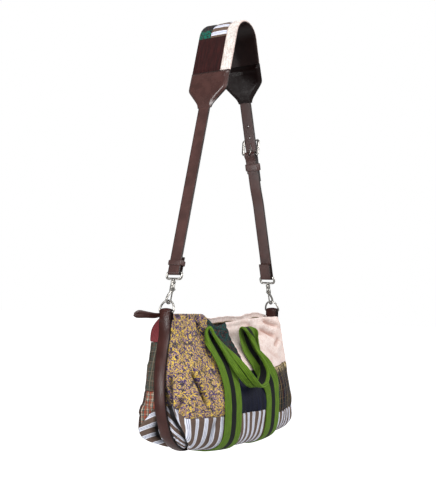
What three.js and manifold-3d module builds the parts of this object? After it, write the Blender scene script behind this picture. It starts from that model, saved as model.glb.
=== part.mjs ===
// Patchwork tote bag hanging by its leather shoulder strap.
// Millimetres, +Z up. +X runs along the bag to the buckle side and -Y is the bag's front.
// The origin is the underside of the shoulder pad at its top, where the bag hangs.
import * as THREE from 'three';
import { mergeVertices } from 'three/addons/utils/BufferGeometryUtils.js';
import Module from 'manifold-3d';

const wasm = await Module();
wasm.setup();

// Driving dimensions
const GAP = 0.35; // clearance between pieces that touch
const CLOTH = 1.8; // patchwork wall
const SEAM = 0.6; // slit between two patches
const BAG_X = 10; // the bag's middle, from the hanging point
const RING = { span: 358, drop: 556.7 }; // the bars of the two D-rings: distance apart, depth below the top
const SHOULDER_RADIUS = 32; // inner bend of the pad over the shoulder

// The shoulder strap, by distance along it from the top (negative to the left)
const PAD = { lining: 2.2, cover: 3, halfWidth: 44.5, from: -128, to: 92.5 };
const PATCH = { band: -22, teal: 15, low: -54, high: 5 }; // seams between the pad's patches
const END_TAB = { length: 74.5, seamHalf: 44.5, wideHalf: 45, wideAt: 37, thick: 6 };
const STRAP = { width: 26, thick: 2.6, fold: 29 };
const BUCKLE = { at: 256, halfWidth: 17.4, halfLength: 13.4, wire: 1.6, corner: 4 };
const PRONG = { radius: 1.1, slotHalf: 2.1 };
const HOLES = { at: [213, 236.5, 283.5, 307], radius: 2 };
const TAIL = 70; // free end of the holed strap past the buckle
const KEEPER = { wall: 1.5, half: 13.4, room: 0.45 };

// Snap hooks and D-rings, by height above the D-ring's bar
const EYE = { at: 67, halfWidth: 16.4, halfHeight: 6, wire: 1.9, corner: 3 };
const POST = { radius: 1.6, headRadius: 2.7, headTop: 55.4, headFoot: 53.8 };
const BARREL = { top: 58, foot: 38, radius: 4.6, chamfer: 0.8 };
const BOLT = { radius: 1.3, offset: 2.4, top: 44.5, knobAt: 43.2, knobRadius: 1.5, knobLength: 5, travel: 6.5 };
const HOOK_LOOP = { centre: 21.6, radius: 6.2, wire: 2, tip: 1 };
const D_RING = { height: 20.2, halfWidth: 15.6, wire: 1.8, corner: 2.2 };

// Bag trim
const STRIP = { width: 26, thick: 2.2, ease: 0.8, tail: 14 };
const WEBBING = { width: 50, thick: 2.4, grip: 4.4, legX: 68, ease: 0.6 };
const ZIP = { tape: 11, below: 10, thick: 1.2, ease: 0.4, endAngle: THREE.MathUtils.degToRad(64) };
const ZIP_TAB_THICK = 4.4;

// Sections of the bag from the keel under the base up to the hem of the mouth.
// front, back: half depths at mid length, mid: height there, end: half length, endZ: height at the end seam,
// boxy: squareness of the plan, gap: half the slot at the end seam, lobe: bulge of the gathered corners,
// swell: bulge of the upper corners, tuck: depth of the fold beside the leather strip
const BAG_ROWS = [
  { name: 'keel', front: 0, back: 0, mid: -808, end: 112, endZ: -805, boxy: 2.6, gap: 0, lobe: 0, swell: 0, tuck: 0 },
  { name: 'base', front: 34, back: 34, mid: -807, end: 136, endZ: -798, boxy: 2.8, gap: 5, lobe: 12, swell: 0, tuck: 3 },
  { name: 'turn', front: 57, back: 57, mid: -798, end: 154, endZ: -786, boxy: 3.2, gap: 9, lobe: 20, swell: 0, tuck: 8 },
  { name: 'heel', front: 69, back: 69, mid: -779, end: 168, endZ: -769, boxy: 3.4, gap: 9, lobe: 22, swell: 0, tuck: 9 },
  { name: 'belly', front: 72, back: 72, mid: -742, end: 181, endZ: -738, boxy: 3.2, gap: 9, lobe: 12, swell: 0, tuck: 6 },
  { name: 'mid', front: 70, back: 71, mid: -710, end: 187, endZ: -708, boxy: 2.9, gap: 9, lobe: 4, swell: 0, tuck: 3 },
  { name: 'waist', front: 56, back: 62, mid: -668, end: 189, endZ: -670, boxy: 2.6, gap: 9, lobe: 0, swell: 5, tuck: 1 },
  { name: 'shoulder', front: 33, back: 46, mid: -624, end: 185, endZ: -628, boxy: 2.5, gap: 9, lobe: 0, swell: 9, tuck: 0 },
  { name: 'neck', front: 15, back: 27, mid: -588, end: 177, endZ: -588, boxy: 2.5, gap: 9, lobe: 0, swell: 13, tuck: 0 },
  { name: 'hem', front: 9.5, back: 10, mid: -560, end: 171.5, endZ: -560, boxy: 2.5, gap: 9, lobe: 0, swell: 1, tuck: 0 },
];
const ROW = Object.fromEntries(BAG_ROWS.map((row, i) => [row.name, i]));
const SECTION_HEIGHT = 32; // usual distance between two sections along the cloth
// Place of the corner bulges in degrees along the bag; they end short of the leather strip
const LOBE = { angle: 72, spread: 14, clearFrom: 4, clearTo: 18 };
const TUCK = { angle: 85, spread: 3.2 };
const SWELL = { front: { left: 0.15, right: 1.2 }, back: { left: 1.4, right: 0.7 } };

// Sag of the mouth's two edges below its ends, by distance along the bag
const FRONT_SAG = [
  { x: -180, drop: 0 }, { x: -95, drop: 1 }, { x: -45, drop: 25 }, { x: 0, drop: 20 },
  { x: 80, drop: 16 }, { x: 140, drop: 14 }, { x: 180, drop: 12 },
];
const BACK_SAG = [
  { x: -180, drop: 0 }, { x: -100, drop: 6 }, { x: -20, drop: 12 },
  { x: 60, drop: 11 }, { x: 140, drop: 3 }, { x: 180, drop: 7 },
];

// The loose part of the front handle, from the left leg over its top, round the grip and back.
// turn: degrees that the webbing's width is turned from X toward +Y
const HANDLE_FREE = [
  { x: -67, y: -71, z: -702, turn: 0, width: 50 },
  { x: -66.5, y: -66, z: -684, turn: 0, width: 50 },
  { x: -69, y: -56, z: -655, turn: 0, width: 49 },
  { x: -76, y: -43.5, z: -630, turn: 4, width: 45 },
  { x: -82, y: -33, z: -611, turn: 12, width: 38 },
  { x: -85, y: -26.5, z: -597, turn: 22, width: 32 },
  { x: -85.5, y: -24, z: -588, turn: 30, width: 29 },
  { x: -84, y: -25.5, z: -583.5, turn: 35, width: 28 },
  { x: -82, y: -28.5, z: -586, turn: 37, width: 27 },
  { x: -78, y: -34.5, z: -600, turn: 35, width: 26 },
  { x: -69, y: -46.5, z: -621, turn: 20, width: 26 },
  { x: -56, y: -60, z: -643, turn: -18, width: 26 },
  { x: -42, y: -74, z: -665, turn: -44, width: 26 },
  { x: -29, y: -82, z: -681, turn: -54, width: 26 },
  { x: -16, y: -85, z: -690, turn: -58, width: 26 },
  { x: -2, y: -85.5, z: -690.5, turn: -64, width: 26 },
  { x: 13, y: -82.5, z: -684.5, turn: -76, width: 26 },
  { x: 27, y: -77, z: -672, turn: -98, width: 26 },
  { x: 34, y: -69, z: -656, turn: -122, width: 26 },
  { x: 36.5, y: -60, z: -639, turn: -146, width: 26 },
  { x: 36.5, y: -52, z: -622, turn: -166, width: 28 },
  { x: 36, y: -46, z: -608, turn: -174, width: 33 },
  { x: 34, y: -39.5, z: -597, turn: -172, width: 40 },
  { x: 32.5, y: -32.5, z: -591, turn: -169, width: 46 },
  { x: 31, y: -29, z: -596, turn: -168, width: 49 },
  { x: 30, y: -32, z: -608, turn: -172, width: 50 },
  { x: 31.5, y: -44, z: -631, turn: -184, width: 50 },
  { x: 42, y: -61.5, z: -657, turn: -193, width: 50 },
  { x: 57, y: -70.5, z: -682, turn: -188, width: 50 },
  { x: 66, y: -73, z: -701, turn: -182, width: 50 },
];

// The zip tab past the end of the mouth: its lower and upper edge
const ZIP_TAB_FREE = [
  { x: -182, lowY: 24, low: -569, highY: 18.5, high: -560 },
  { x: -204, lowY: 25, low: -568.5, highY: 19.5, high: -557.5 },
  { x: -226, lowY: 25.5, low: -568.3, highY: 20, high: -554.5 },
  { x: -234, lowY: 25, low: -567, highY: 20.5, high: -555.5 },
  { x: -239.5, lowY: 24, low: -565, highY: 22, high: -560 },
];

// Materials
const paint = (color, roughness, metalness = 0) => new THREE.MeshStandardMaterial({ color, roughness, metalness });
const LEATHER = paint(0x43302c, 0.5);
const LINING = paint(0x1d1817, 0.6);
const NICKEL = paint(0xd4d4d2, 0.2, 1);
const GREEN_WEB = paint(0x628c32, 0.8);
const CREAM = paint(0xe4d6ce, 0.5);
const BROCADE = paint(0xb89a58, 0.7);
const TEAL = paint(0x1a4648, 0.6);
const NAVY = paint(0x1c2134, 0.5);
const PLAID = paint(0x3d332d, 0.8);
const STRIPE = paint(0xa89c98, 0.7);
const BURGUNDY = paint(0x6e2d37, 0.8);
const GREEN_PLAID = paint(0x4c5a55, 0.8);
const TARTAN = paint(0xb0664f, 0.8);
const ZIP_TAPE = paint(0x2a2220, 0.8);

const bag = new THREE.Group();

function addMesh(name, geometry, material, parent = bag) {
  const mesh = new THREE.Mesh(geometry, material);
  mesh.name = name;
  parent.add(mesh);
  return mesh;
}

// Geometry helpers

// Smooth curve through a table's rows: the row's columns are blended at a fractional index.
function blendRows(rows, index, columns) {
  const i = Math.min(Math.max(Math.floor(index), 0), rows.length - 2);
  const t = index - i;
  const at = (k) => rows[Math.min(Math.max(k, 0), rows.length - 1)];
  const out = {};
  for (const column of columns) {
    const [a, b, c, d] = [i - 1, i, i + 1, i + 2].map((k) => at(k)[column]);
    const rise = (c - a) / 2;
    const fall = (d - b) / 2;
    out[column] = b + t * (rise + t * (3 * (c - b) - 2 * rise - fall + t * (2 * (b - c) + rise + fall)));
  }
  return out;
}

// Value of a table's column at a place along its x column, eased between rows.
function alongTable(rows, x, column) {
  const last = rows.length - 1;
  if (x <= rows[0].x) return rows[0][column];
  if (x >= rows[last].x) return rows[last][column];
  const i = rows.findIndex((row) => row.x > x) - 1;
  const t = THREE.MathUtils.smoothstep(x, rows[i].x, rows[i + 1].x);
  return THREE.MathUtils.lerp(rows[i][column], rows[i + 1][column], t);
}

const bump = (value, centre, spread) => Math.exp(-(((value - centre) / spread) ** 2));
const steps = (count, from = 0, to = 1) =>
  Array.from({ length: count + 1 }, (_, i) => from + ((to - from) * i) / count);

function signedVolume(position, index) {
  const [a, b, c] = [new THREE.Vector3(), new THREE.Vector3(), new THREE.Vector3()];
  let sum = 0;
  for (let i = 0; i < index.length; i += 3) {
    a.fromArray(position, index[i] * 3);
    b.fromArray(position, index[i + 1] * 3);
    c.fromArray(position, index[i + 2] * 3);
    sum += a.dot(b.cross(c));
  }
  return sum;
}

// Geometry from flat arrays, turned right side out.
function closedGeometry(position, index) {
  if (signedVolume(position, index) < 0) {
    for (let i = 0; i < index.length; i += 3) {
      [index[i + 1], index[i + 2]] = [index[i + 2], index[i + 1]];
    }
  }
  const geometry = new THREE.BufferGeometry();
  geometry.setAttribute('position', new THREE.Float32BufferAttribute(position, 3));
  geometry.setIndex(index);
  geometry.computeVertexNormals();
  return geometry;
}

// A thin wall of even thickness about a grid of mid-surface points.
function sheet(grid, thick) {
  const rows = grid.length;
  const cols = grid[0].length;
  const position = [];
  const across = new THREE.Vector3();
  const along = new THREE.Vector3();
  const thickAt = typeof thick === 'function' ? thick : () => thick;
  const normals = grid.map((line, i) => line.map((_, j) => {
    across.subVectors(line[Math.min(j + 1, cols - 1)], line[Math.max(j - 1, 0)]).normalize();
    along.subVectors(grid[Math.min(i + 1, rows - 1)][j], grid[Math.max(i - 1, 0)][j]).normalize();
    return new THREE.Vector3().crossVectors(along, across).normalize();
  }));
  for (const face of [0.5, -0.5]) {
    grid.forEach((line, i) => line.forEach((point, j) => {
      const moved = point.clone().addScaledVector(normals[i][j], face * thickAt(i));
      position.push(moved.x, moved.y, moved.z);
    }));
  }
  const top = (i, j) => i * cols + j;
  const under = (i, j) => rows * cols + i * cols + j;
  const index = [];
  const quad = (a, b, c, d) => index.push(a, b, c, a, c, d);
  for (let i = 0; i < rows - 1; i += 1) {
    for (let j = 0; j < cols - 1; j += 1) {
      quad(top(i, j), top(i, j + 1), top(i + 1, j + 1), top(i + 1, j));
      quad(under(i, j), under(i + 1, j), under(i + 1, j + 1), under(i, j + 1));
    }
    quad(top(i, 0), top(i + 1, 0), under(i + 1, 0), under(i, 0));
    quad(top(i, cols - 1), under(i, cols - 1), under(i + 1, cols - 1), top(i + 1, cols - 1));
  }
  for (let j = 0; j < cols - 1; j += 1) {
    quad(top(0, j), under(0, j), under(0, j + 1), top(0, j + 1));
    quad(top(rows - 1, j), top(rows - 1, j + 1), under(rows - 1, j + 1), under(rows - 1, j));
  }
  return closedGeometry(position, index);
}

// Solids for joining and cutting
function toSolid(geometry) {
  const bare = geometry.clone();
  bare.deleteAttribute('normal');
  bare.deleteAttribute('uv');
  const merged = mergeVertices(bare, 1e-4);
  const vertProperties = new Float32Array(merged.attributes.position.array);
  const triVerts = new Uint32Array(merged.index.array);
  return new wasm.Manifold(new wasm.Mesh({ numProp: 3, vertProperties, triVerts }));
}

function fromSolid(solid) {
  const { vertProperties, triVerts } = solid.getMesh();
  return closedGeometry(Array.from(vertProperties), Array.from(triVerts));
}

const fuse = (...pieces) => fromSolid(pieces.map(toSolid).reduce((a, b) => a.add(b)));
const cut = (body, ...tools) => fromSolid(tools.map(toSolid).reduce((a, b) => a.subtract(b), toSolid(body)));

// A closed wire: a flat outline of (u, v) laid on two axes at an origin.
class FlatLoop extends THREE.Curve {
  constructor(outline, origin, axisU, axisV) {
    super();
    Object.assign(this, { outline, origin, axisU, axisV });
  }

  getPoint(t, target = new THREE.Vector3()) {
    const { x, y } = this.outline.getPointAt(t % 1);
    return target.copy(this.origin).addScaledVector(this.axisU, x).addScaledVector(this.axisV, y);
  }
}

function roundedRectangle(halfU, halfV, corner) {
  const path = new THREE.Shape();
  path.moveTo(halfU, 0);
  path.lineTo(halfU, halfV - corner);
  path.absarc(halfU - corner, halfV - corner, corner, 0, Math.PI / 2);
  path.lineTo(-halfU + corner, halfV);
  path.absarc(-halfU + corner, halfV - corner, corner, Math.PI / 2, Math.PI);
  path.lineTo(-halfU, -halfV + corner);
  path.absarc(-halfU + corner, -halfV + corner, corner, Math.PI, 1.5 * Math.PI);
  path.lineTo(halfU - corner, -halfV);
  path.absarc(halfU - corner, -halfV + corner, corner, 1.5 * Math.PI, 2 * Math.PI);
  path.lineTo(halfU, 0);
  return path;
}

// A wire with flat ends along a curve.
function wire(curve, radius, count, sides = 8) {
  const section = new THREE.Shape();
  section.absarc(0, 0, radius, 0, 2 * Math.PI);
  return new THREE.ExtrudeGeometry(section, { steps: count, curveSegments: sides / 2, extrudePath: curve });
}

// The strap's line: s runs along it from the top, positive to the buckle side, n is outward from it.
// Each leg leaves the shoulder bend as a tangent that ends at its D-ring's bar.
const STRAP_RADIUS = SHOULDER_RADIUS + PAD.lining + 0.8;

function strapLeg(hand) {
  const aside = RING.span / 2 + hand * BAG_X;
  const below = RING.drop - SHOULDER_RADIUS;
  const far = Math.hypot(aside, below);
  const angle = Math.PI - Math.atan2(aside, below) - Math.acos(STRAP_RADIUS / far);
  const arc = STRAP_RADIUS * angle;
  return { hand, angle, lean: Math.PI / 2 - angle, arc, ring: arc + Math.sqrt(far ** 2 - STRAP_RADIUS ** 2) };
}
const LEGS = { left: strapLeg(-1), right: strapLeg(1) };

function strapPoint(s, y, n = 0) {
  const leg = s < 0 ? LEGS.left : LEGS.right;
  const onArc = Math.min(Math.abs(s), leg.arc);
  const down = Math.abs(s) - onArc;
  const angle = onArc / STRAP_RADIUS;
  const x = (STRAP_RADIUS + n) * Math.sin(angle) + down * Math.cos(angle);
  const z = -SHOULDER_RADIUS + (STRAP_RADIUS + n) * Math.cos(angle) - down * Math.sin(angle);
  return new THREE.Vector3(leg.hand * x, y, z);
}

// A frame on a leg: +Z up along the leg, +X outward, at a place along the strap and an offset from it.
function legMatrix(leg, s, n = 0) {
  const turn = new THREE.Euler(0, -leg.lean, leg.hand < 0 ? Math.PI : 0, 'ZYX');
  const matrix = new THREE.Matrix4().makeRotationFromEuler(turn);
  return matrix.setPosition(strapPoint(leg.hand * s, 0, n));
}

// Shoulder pad: a leather lining under a patchwork cover
const LINING_N = -0.8 - PAD.lining / 2;
const COVER_N = -0.8 + GAP + PAD.cover / 2;

function padPatch(from, to, yFrom, yTo, n, thick) {
  const places = steps(Math.max(3, Math.round((to - from) / 10)), from, to);
  return sheet(places.map((s) => [yFrom, yTo].map((y) => strapPoint(s, y, n))), thick);
}

const padHalf = PAD.halfWidth;
addMesh('pad_lining', padPatch(PAD.from, PAD.to, -padHalf, padHalf, LINING_N, PAD.lining), LINING);
const padCover = [
  ['pad_cream_band', CREAM, PAD.from, PAD.to, -padHalf, PATCH.band],
  ['pad_burgundy_left', BURGUNDY, PAD.from, PATCH.low, PATCH.band + GAP, padHalf],
  ['pad_stripe', STRIPE, PATCH.low + GAP, PATCH.high, PATCH.band + GAP, PATCH.teal],
  ['pad_teal', TEAL, PATCH.low + GAP, PATCH.high, PATCH.teal + GAP, padHalf],
  ['pad_burgundy_right', BURGUNDY, PATCH.high + 3 * GAP, PAD.to, PATCH.band + GAP, padHalf],
];
for (const [name, cloth, from, to, yFrom, yTo] of padCover) {
  addMesh(name, padPatch(from, to, yFrom, yTo, COVER_N, PAD.cover), cloth);
}

// Leather end pieces that taper from the pad to the strap
function endTab(seam) {
  const hand = Math.sign(seam);
  const strapThick = STRAP.thick + 1;
  const rows = [
    { at: GAP, half: END_TAB.seamHalf, thick: END_TAB.thick },
    { at: END_TAB.wideAt / 2, half: (END_TAB.seamHalf + END_TAB.wideHalf) / 2, thick: END_TAB.thick },
    { at: END_TAB.wideAt, half: END_TAB.wideHalf, thick: END_TAB.thick },
    { at: END_TAB.length - 6, half: STRAP.width / 2 + 2, thick: strapThick },
    { at: END_TAB.length, half: STRAP.width / 2 + 0.5, thick: strapThick },
  ];
  const grid = rows.map(({ at, half }) => [-half, 0, half].map((y) => strapPoint(seam + hand * at, y)));
  return sheet(grid, (i) => rows[i].thick);
}
addMesh('end_tab_left', endTab(PAD.from), LEATHER);
addMesh('end_tab_right', endTab(PAD.to), LEATHER);

// Straps: a path of (s, n) points swept at the strap's width
const strapHalf = STRAP.width / 2;

function strapAlong(path) {
  return sheet(path.map(([s, n]) => [-strapHalf, strapHalf].map((y) => strapPoint(s, y, n))), STRAP.thick);
}

// Points of a half turn round a bar, in (s, n), from one angle to another.
function turnRound(s, n, radius, from, to) {
  return steps(6, from, to).map((a) => [s + radius * Math.cos(a), n + radius * Math.sin(a)]);
}

// The strap's lower end: round the eye's upper bar and back up on the inner side.
const EYE_LOOP = EYE.wire + GAP + STRAP.thick / 2;
const EYE_N = -EYE_LOOP; // the hook's axis lies inside the strap's line
const eyeBar = (leg) => leg.ring - EYE.at - EYE.halfHeight;

function eyeFold(leg) {
  const bar = eyeBar(leg);
  const turn = turnRound(bar, EYE_N, EYE_LOOP, Math.PI / 2, -Math.PI / 2);
  const back = [...turn, [bar - STRAP.fold / 2, 2 * EYE_N], [bar - STRAP.fold, 2 * EYE_N]];
  return back.map(([s, n]) => [leg.hand * s, n]);
}

const leftJoint = PAD.from - END_TAB.length - GAP;
const leftRun = steps(6, leftJoint, 12 - eyeBar(LEGS.left)).map((s) => [s, 0]);
addMesh('strap_left', strapAlong([...leftRun, ...eyeFold(LEGS.left)]), LEATHER);

// Buckle: its frame leans, so the straight holed strap passes over its top bar and under its heel bar
const STACK = STRAP.thick + GAP;
const BAR_STAND = STRAP.thick / 2 + GAP + BUCKLE.wire;
const TOP_BAR = { s: BUCKLE.at - BUCKLE.halfLength, n: BAR_STAND };
const HEEL_BAR = { s: BUCKLE.at + BUCKLE.halfLength, n: -STACK - BAR_STAND };
const depthAxis = new THREE.Vector3(0, 1, 0);

function buckleFrame() {
  const heel = strapPoint(HEEL_BAR.s, 0, HEEL_BAR.n);
  const top = strapPoint(TOP_BAR.s, 0, TOP_BAR.n);
  const slope = new THREE.Vector3().subVectors(top, heel);
  const outline = roundedRectangle(BUCKLE.halfWidth, slope.length() / 2, BUCKLE.corner);
  const centre = heel.clone().add(top).multiplyScalar(0.5);
  const loop = new FlatLoop(outline, centre, depthAxis, slope.normalize());
  return new THREE.TubeGeometry(loop, 28, BUCKLE.wire, 6, true);
}
addMesh('buckle_frame', buckleFrame(), NICKEL);

function buckleProng() {
  const path = [
    [HEEL_BAR.s - BUCKLE.wire - 2 * GAP, HEEL_BAR.n + 0.6],
    [BUCKLE.at + 0.5, -0.4],
    [TOP_BAR.s + 1.9, TOP_BAR.n + 2.9],
    [TOP_BAR.s - 3, TOP_BAR.n + 3.4],
  ];
  const curve = new THREE.CatmullRomCurve3(path.map(([s, n]) => strapPoint(s, 0, n)));
  return wire(curve, PRONG.radius, 10, 6);
}
addMesh('buckle_prong', buckleProng(), NICKEL);

// Cutters that stand across the right strap
function strapSlot(from, to, halfY, height) {
  const block = new THREE.BoxGeometry(height, 2 * halfY, to - from);
  return block.applyMatrix4(legMatrix(LEGS.right, (from + to) / 2));
}

function strapHole(s) {
  const pin = new THREE.CylinderGeometry(HOLES.radius, HOLES.radius, 4 * STRAP.thick, 10);
  return pin.rotateZ(Math.PI / 2).applyMatrix4(legMatrix(LEGS.right, s));
}

function holedStrap() {
  const joint = PAD.to + END_TAB.length + GAP;
  const band = strapAlong(steps(6, joint, BUCKLE.at + TAIL).map((s) => [s, 0]));
  const holes = HOLES.at.map(strapHole);
  const slot = strapSlot(BUCKLE.at - 6, BUCKLE.at + 6.5, PRONG.slotHalf, 4 * STRAP.thick);
  return cut(band, slot, ...holes);
}
addMesh('strap_right_upper', holedStrap(), LEATHER);

function lowerStrap() {
  const turn = turnRound(HEEL_BAR.s, HEEL_BAR.n, BAR_STAND, -Math.PI / 2, -1.5 * Math.PI);
  const tailEnd = BUCKLE.at + TAIL;
  const path = [
    [HEEL_BAR.s + 40, -2 * STACK],
    [HEEL_BAR.s + 16, -2 * STACK],
    [HEEL_BAR.s + 6, HEEL_BAR.n - BAR_STAND + 0.9],
    ...turn,
    [HEEL_BAR.s + 16, -STACK],
    [tailEnd + 6, -STACK],
    [tailEnd + 30, -STACK / 2],
    [tailEnd + 54, 0],
    ...steps(2, tailEnd + 90, eyeBar(LEGS.right) - 12).map((s) => [s, 0]),
    ...eyeFold(LEGS.right),
  ];
  return cut(strapAlong(path), strapSlot(HEEL_BAR.s - 8, HEEL_BAR.s + 2, PRONG.slotHalf + 0.6, 30));
}
addMesh('strap_right_lower', lowerStrap(), LEATHER);

// Keepers: flat bands around the doubled strap
function keeper(leg, at, length, inner, outer) {
  const halfN = (outer - inner) / 2 + KEEPER.room;
  const band = roundedRectangle(halfN + KEEPER.wall, KEEPER.half + KEEPER.wall, 1.5);
  band.holes.push(roundedRectangle(halfN, KEEPER.half, 0.6));
  const geometry = new THREE.ExtrudeGeometry(band, { depth: length, curveSegments: 2, bevelEnabled: false });
  return geometry.translate(0, 0, -length / 2).applyMatrix4(legMatrix(leg, at, (outer + inner) / 2));
}
const halfStrap = STRAP.thick / 2;
addMesh('keeper_left', keeper(LEGS.left, eyeBar(LEGS.left) - 17, 9, 2 * EYE_N - halfStrap, halfStrap), LEATHER);
addMesh('keeper_right', keeper(LEGS.right, HEEL_BAR.s + 27, 14, -2 * STACK - halfStrap, halfStrap), LEATHER);

// Snap hooks, each in its own frame: +Z up along the leg from the D-ring's bar, +X outward
const RING_X = HOOK_LOOP.radius - BOLT.offset; // the D-ring hangs in the lowest part of the hook's loop
const upAxis = new THREE.Vector3(0, 0, 1);

function drum(radius, foot, top, x = 0) {
  const geometry = new THREE.CylinderGeometry(radius, radius, top - foot, 10);
  return geometry.rotateX(Math.PI / 2).translate(x, 0, (foot + top) / 2);
}

function eyeWithPost() {
  const outline = roundedRectangle(EYE.halfWidth, EYE.halfHeight, EYE.corner);
  const loop = new FlatLoop(outline, new THREE.Vector3(0, 0, EYE.at), depthAxis, upAxis);
  const ring = new THREE.TubeGeometry(loop, 28, EYE.wire, 7, true);
  const post = drum(POST.radius, POST.headFoot + 0.2, EYE.at - EYE.halfHeight);
  return fuse(ring, post, drum(POST.headRadius, POST.headFoot, POST.headTop));
}

// The barrel holds the swivel post's head in a cavity at its top.
function hookBarrel() {
  const room = 0.4;
  const cavity = { radius: POST.headRadius + room, top: POST.headTop + room, foot: POST.headFoot - room };
  const bore = POST.radius + room;
  const { top, foot, radius, chamfer } = BARREL;
  const profile = [
    [0, foot], [radius - chamfer, foot], [radius, foot + chamfer], [radius, top - chamfer], [radius - chamfer, top],
    [bore, top], [bore, cavity.top], [cavity.radius, cavity.top], [cavity.radius, cavity.foot], [0, cavity.foot],
  ];
  const points = profile.map(([r, up]) => new THREE.Vector2(r, up));
  return new THREE.LatheGeometry(points, 16).rotateX(Math.PI / 2);
}

// The bent hook below the barrel: outward, round under the ring and up to the bolt.
function hookBend() {
  const { centre, radius, tip } = HOOK_LOOP;
  const onLoop = (a) => [RING_X + radius * Math.cos(a), centre - radius * Math.sin(a)];
  const shank = [[1.6, BARREL.foot + 3], [1.9, BARREL.foot - 1], [6.4, BARREL.foot - 7.5]];
  const path = [...shank, ...steps(7, -0.45, Math.PI).map(onLoop), [-BOLT.offset, centre + tip]];
  const points = path.map(([x, up]) => new THREE.Vector3(x, 0, up));
  return wire(new THREE.CatmullRomCurve3(points), HOOK_LOOP.wire, 20, 8);
}

function hook() {
  const bore = drum(BOLT.radius + GAP, BARREL.foot - 1, BOLT.top + BOLT.travel + 1, -BOLT.offset);
  const slotTop = BOLT.knobAt + BOLT.travel + BOLT.knobRadius + GAP;
  const slotFoot = BOLT.knobAt - BOLT.knobRadius - GAP;
  const slot = new THREE.BoxGeometry(BARREL.radius, 2 * (BOLT.knobRadius + GAP), slotTop - slotFoot);
  slot.translate(-BOLT.offset - BARREL.radius / 2, 0, (slotTop + slotFoot) / 2);
  return cut(fuse(hookBarrel(), hookBend()), bore, slot);
}

function bolt() {
  const rod = drum(BOLT.radius, HOOK_LOOP.centre + HOOK_LOOP.tip + GAP, BOLT.top, -BOLT.offset);
  const knob = new THREE.CylinderGeometry(BOLT.knobRadius, BOLT.knobRadius, BOLT.knobLength, 10);
  knob.rotateZ(Math.PI / 2).translate(-BOLT.offset - BOLT.knobLength / 2, 0, BOLT.knobAt);
  return fuse(rod, knob);
}

// D-ring: a straight bar in the leather loop and a round arch through the hook
function dRing() {
  const arch = new THREE.Shape();
  const { halfWidth, height, corner } = D_RING;
  arch.moveTo(0, 0);
  arch.lineTo(halfWidth - corner, 0);
  arch.absarc(halfWidth - corner, corner, corner, -Math.PI / 2, 0);
  arch.absellipse(0, corner, halfWidth, height - corner, 0, Math.PI);
  arch.absarc(-halfWidth + corner, corner, corner, Math.PI, 1.5 * Math.PI);
  arch.lineTo(0, 0);
  const loop = new FlatLoop(arch, new THREE.Vector3(RING_X, 0, 0), depthAxis, upAxis);
  return new THREE.TubeGeometry(loop, 30, D_RING.wire, 6, true);
}

for (const [word, leg] of Object.entries(LEGS)) {
  const clip = new THREE.Group();
  clip.applyMatrix4(legMatrix(leg, leg.ring, EYE_N));
  bag.add(clip);
  addMesh(`eye_${word}`, eyeWithPost(), NICKEL, clip);
  addMesh(`hook_${word}`, hook(), NICKEL, clip);
  addMesh(`bolt_${word}`, bolt(), NICKEL, clip);
  addMesh(`d_ring_${word}`, dRing(), NICKEL, clip);
}

// Bag body, in a group at the bag's middle.
// Points on the cloth go by side (-1 front, 1 back), angle along the bag and section index.
const body = new THREE.Group();
body.position.x = BAG_X;
bag.add(body);

const ROW_COLUMNS = Object.keys(BAG_ROWS[0]).filter((column) => column !== 'name');
const bagRow = (v) => blendRows(BAG_ROWS, v, ROW_COLUMNS);
const END_ANGLE = Math.PI / 2 - 0.001;

// The angle at which a section reaches a distance x along the bag.
function angleAt(x, v) {
  const row = bagRow(v);
  const reach = Math.min(Math.abs(x) / row.end, 1);
  return Math.sign(x) * Math.asin(reach ** (row.boxy / 2));
}

// Angles between two limits, closer together toward the ends of the bag.
function anglesBetween(from, to, count) {
  const crowd = 1.6;
  const even = (a) => Math.sign(a) * (1 - (1 - Math.abs(a) / END_ANGLE) ** (1 / crowd));
  const crowded = (t) => Math.sign(t) * END_ANGLE * (1 - (1 - Math.abs(t)) ** crowd);
  return steps(count, even(from), even(to)).map(crowded);
}

function bodyPoint(side, angle, v) {
  const row = bagRow(v);
  const hand = Math.sign(angle) || 1;
  const reach = Math.abs(Math.sin(angle)) ** (2 / row.boxy);
  const full = Math.max(Math.cos(angle), 0) ** (2 / row.boxy);
  const degrees = THREE.MathUtils.radToDeg(Math.abs(angle));
  const swell = SWELL[side < 0 ? 'front' : 'back'][hand < 0 ? 'left' : 'right'];
  const clear = THREE.MathUtils.smoothstep(90 - degrees, LOBE.clearFrom, LOBE.clearTo);
  const puff = (row.lobe + row.swell * swell) * bump(degrees, LOBE.angle, LOBE.spread) * clear;
  const tuck = row.tuck * bump(degrees, TUCK.angle, TUCK.spread);
  const halfDepth = side < 0 ? row.front : row.back;
  const depth = row.gap + (halfDepth - row.gap) * full + 0.65 * puff;
  const x = hand * (row.end * reach + 0.75 * puff - tuck);
  const sag = alongTable(side < 0 ? FRONT_SAG : BACK_SAG, x, 'drop');
  const z = THREE.MathUtils.lerp(row.mid, row.endZ, reach ** 3)
    - sag * THREE.MathUtils.smoothstep(v, ROW.waist, ROW.hem);
  return new THREE.Vector3(x, side * depth, z);
}

// The point moved outward from the cloth's mid-surface.
function bodyOffset(side, angle, v, out) {
  const step = 0.01;
  const rise = 0.05;
  const point = bodyPoint(side, angle, v);
  const alongBag = bodyPoint(side, angle + step, v).sub(bodyPoint(side, angle - step, v));
  const upBag = bodyPoint(side, angle, Math.min(v + rise, ROW.hem)).sub(bodyPoint(side, angle, Math.max(v - rise, 0)));
  const normal = alongBag.cross(upBag).multiplyScalar(-side).normalize();
  return point.addScaledVector(normal, out);
}

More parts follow.
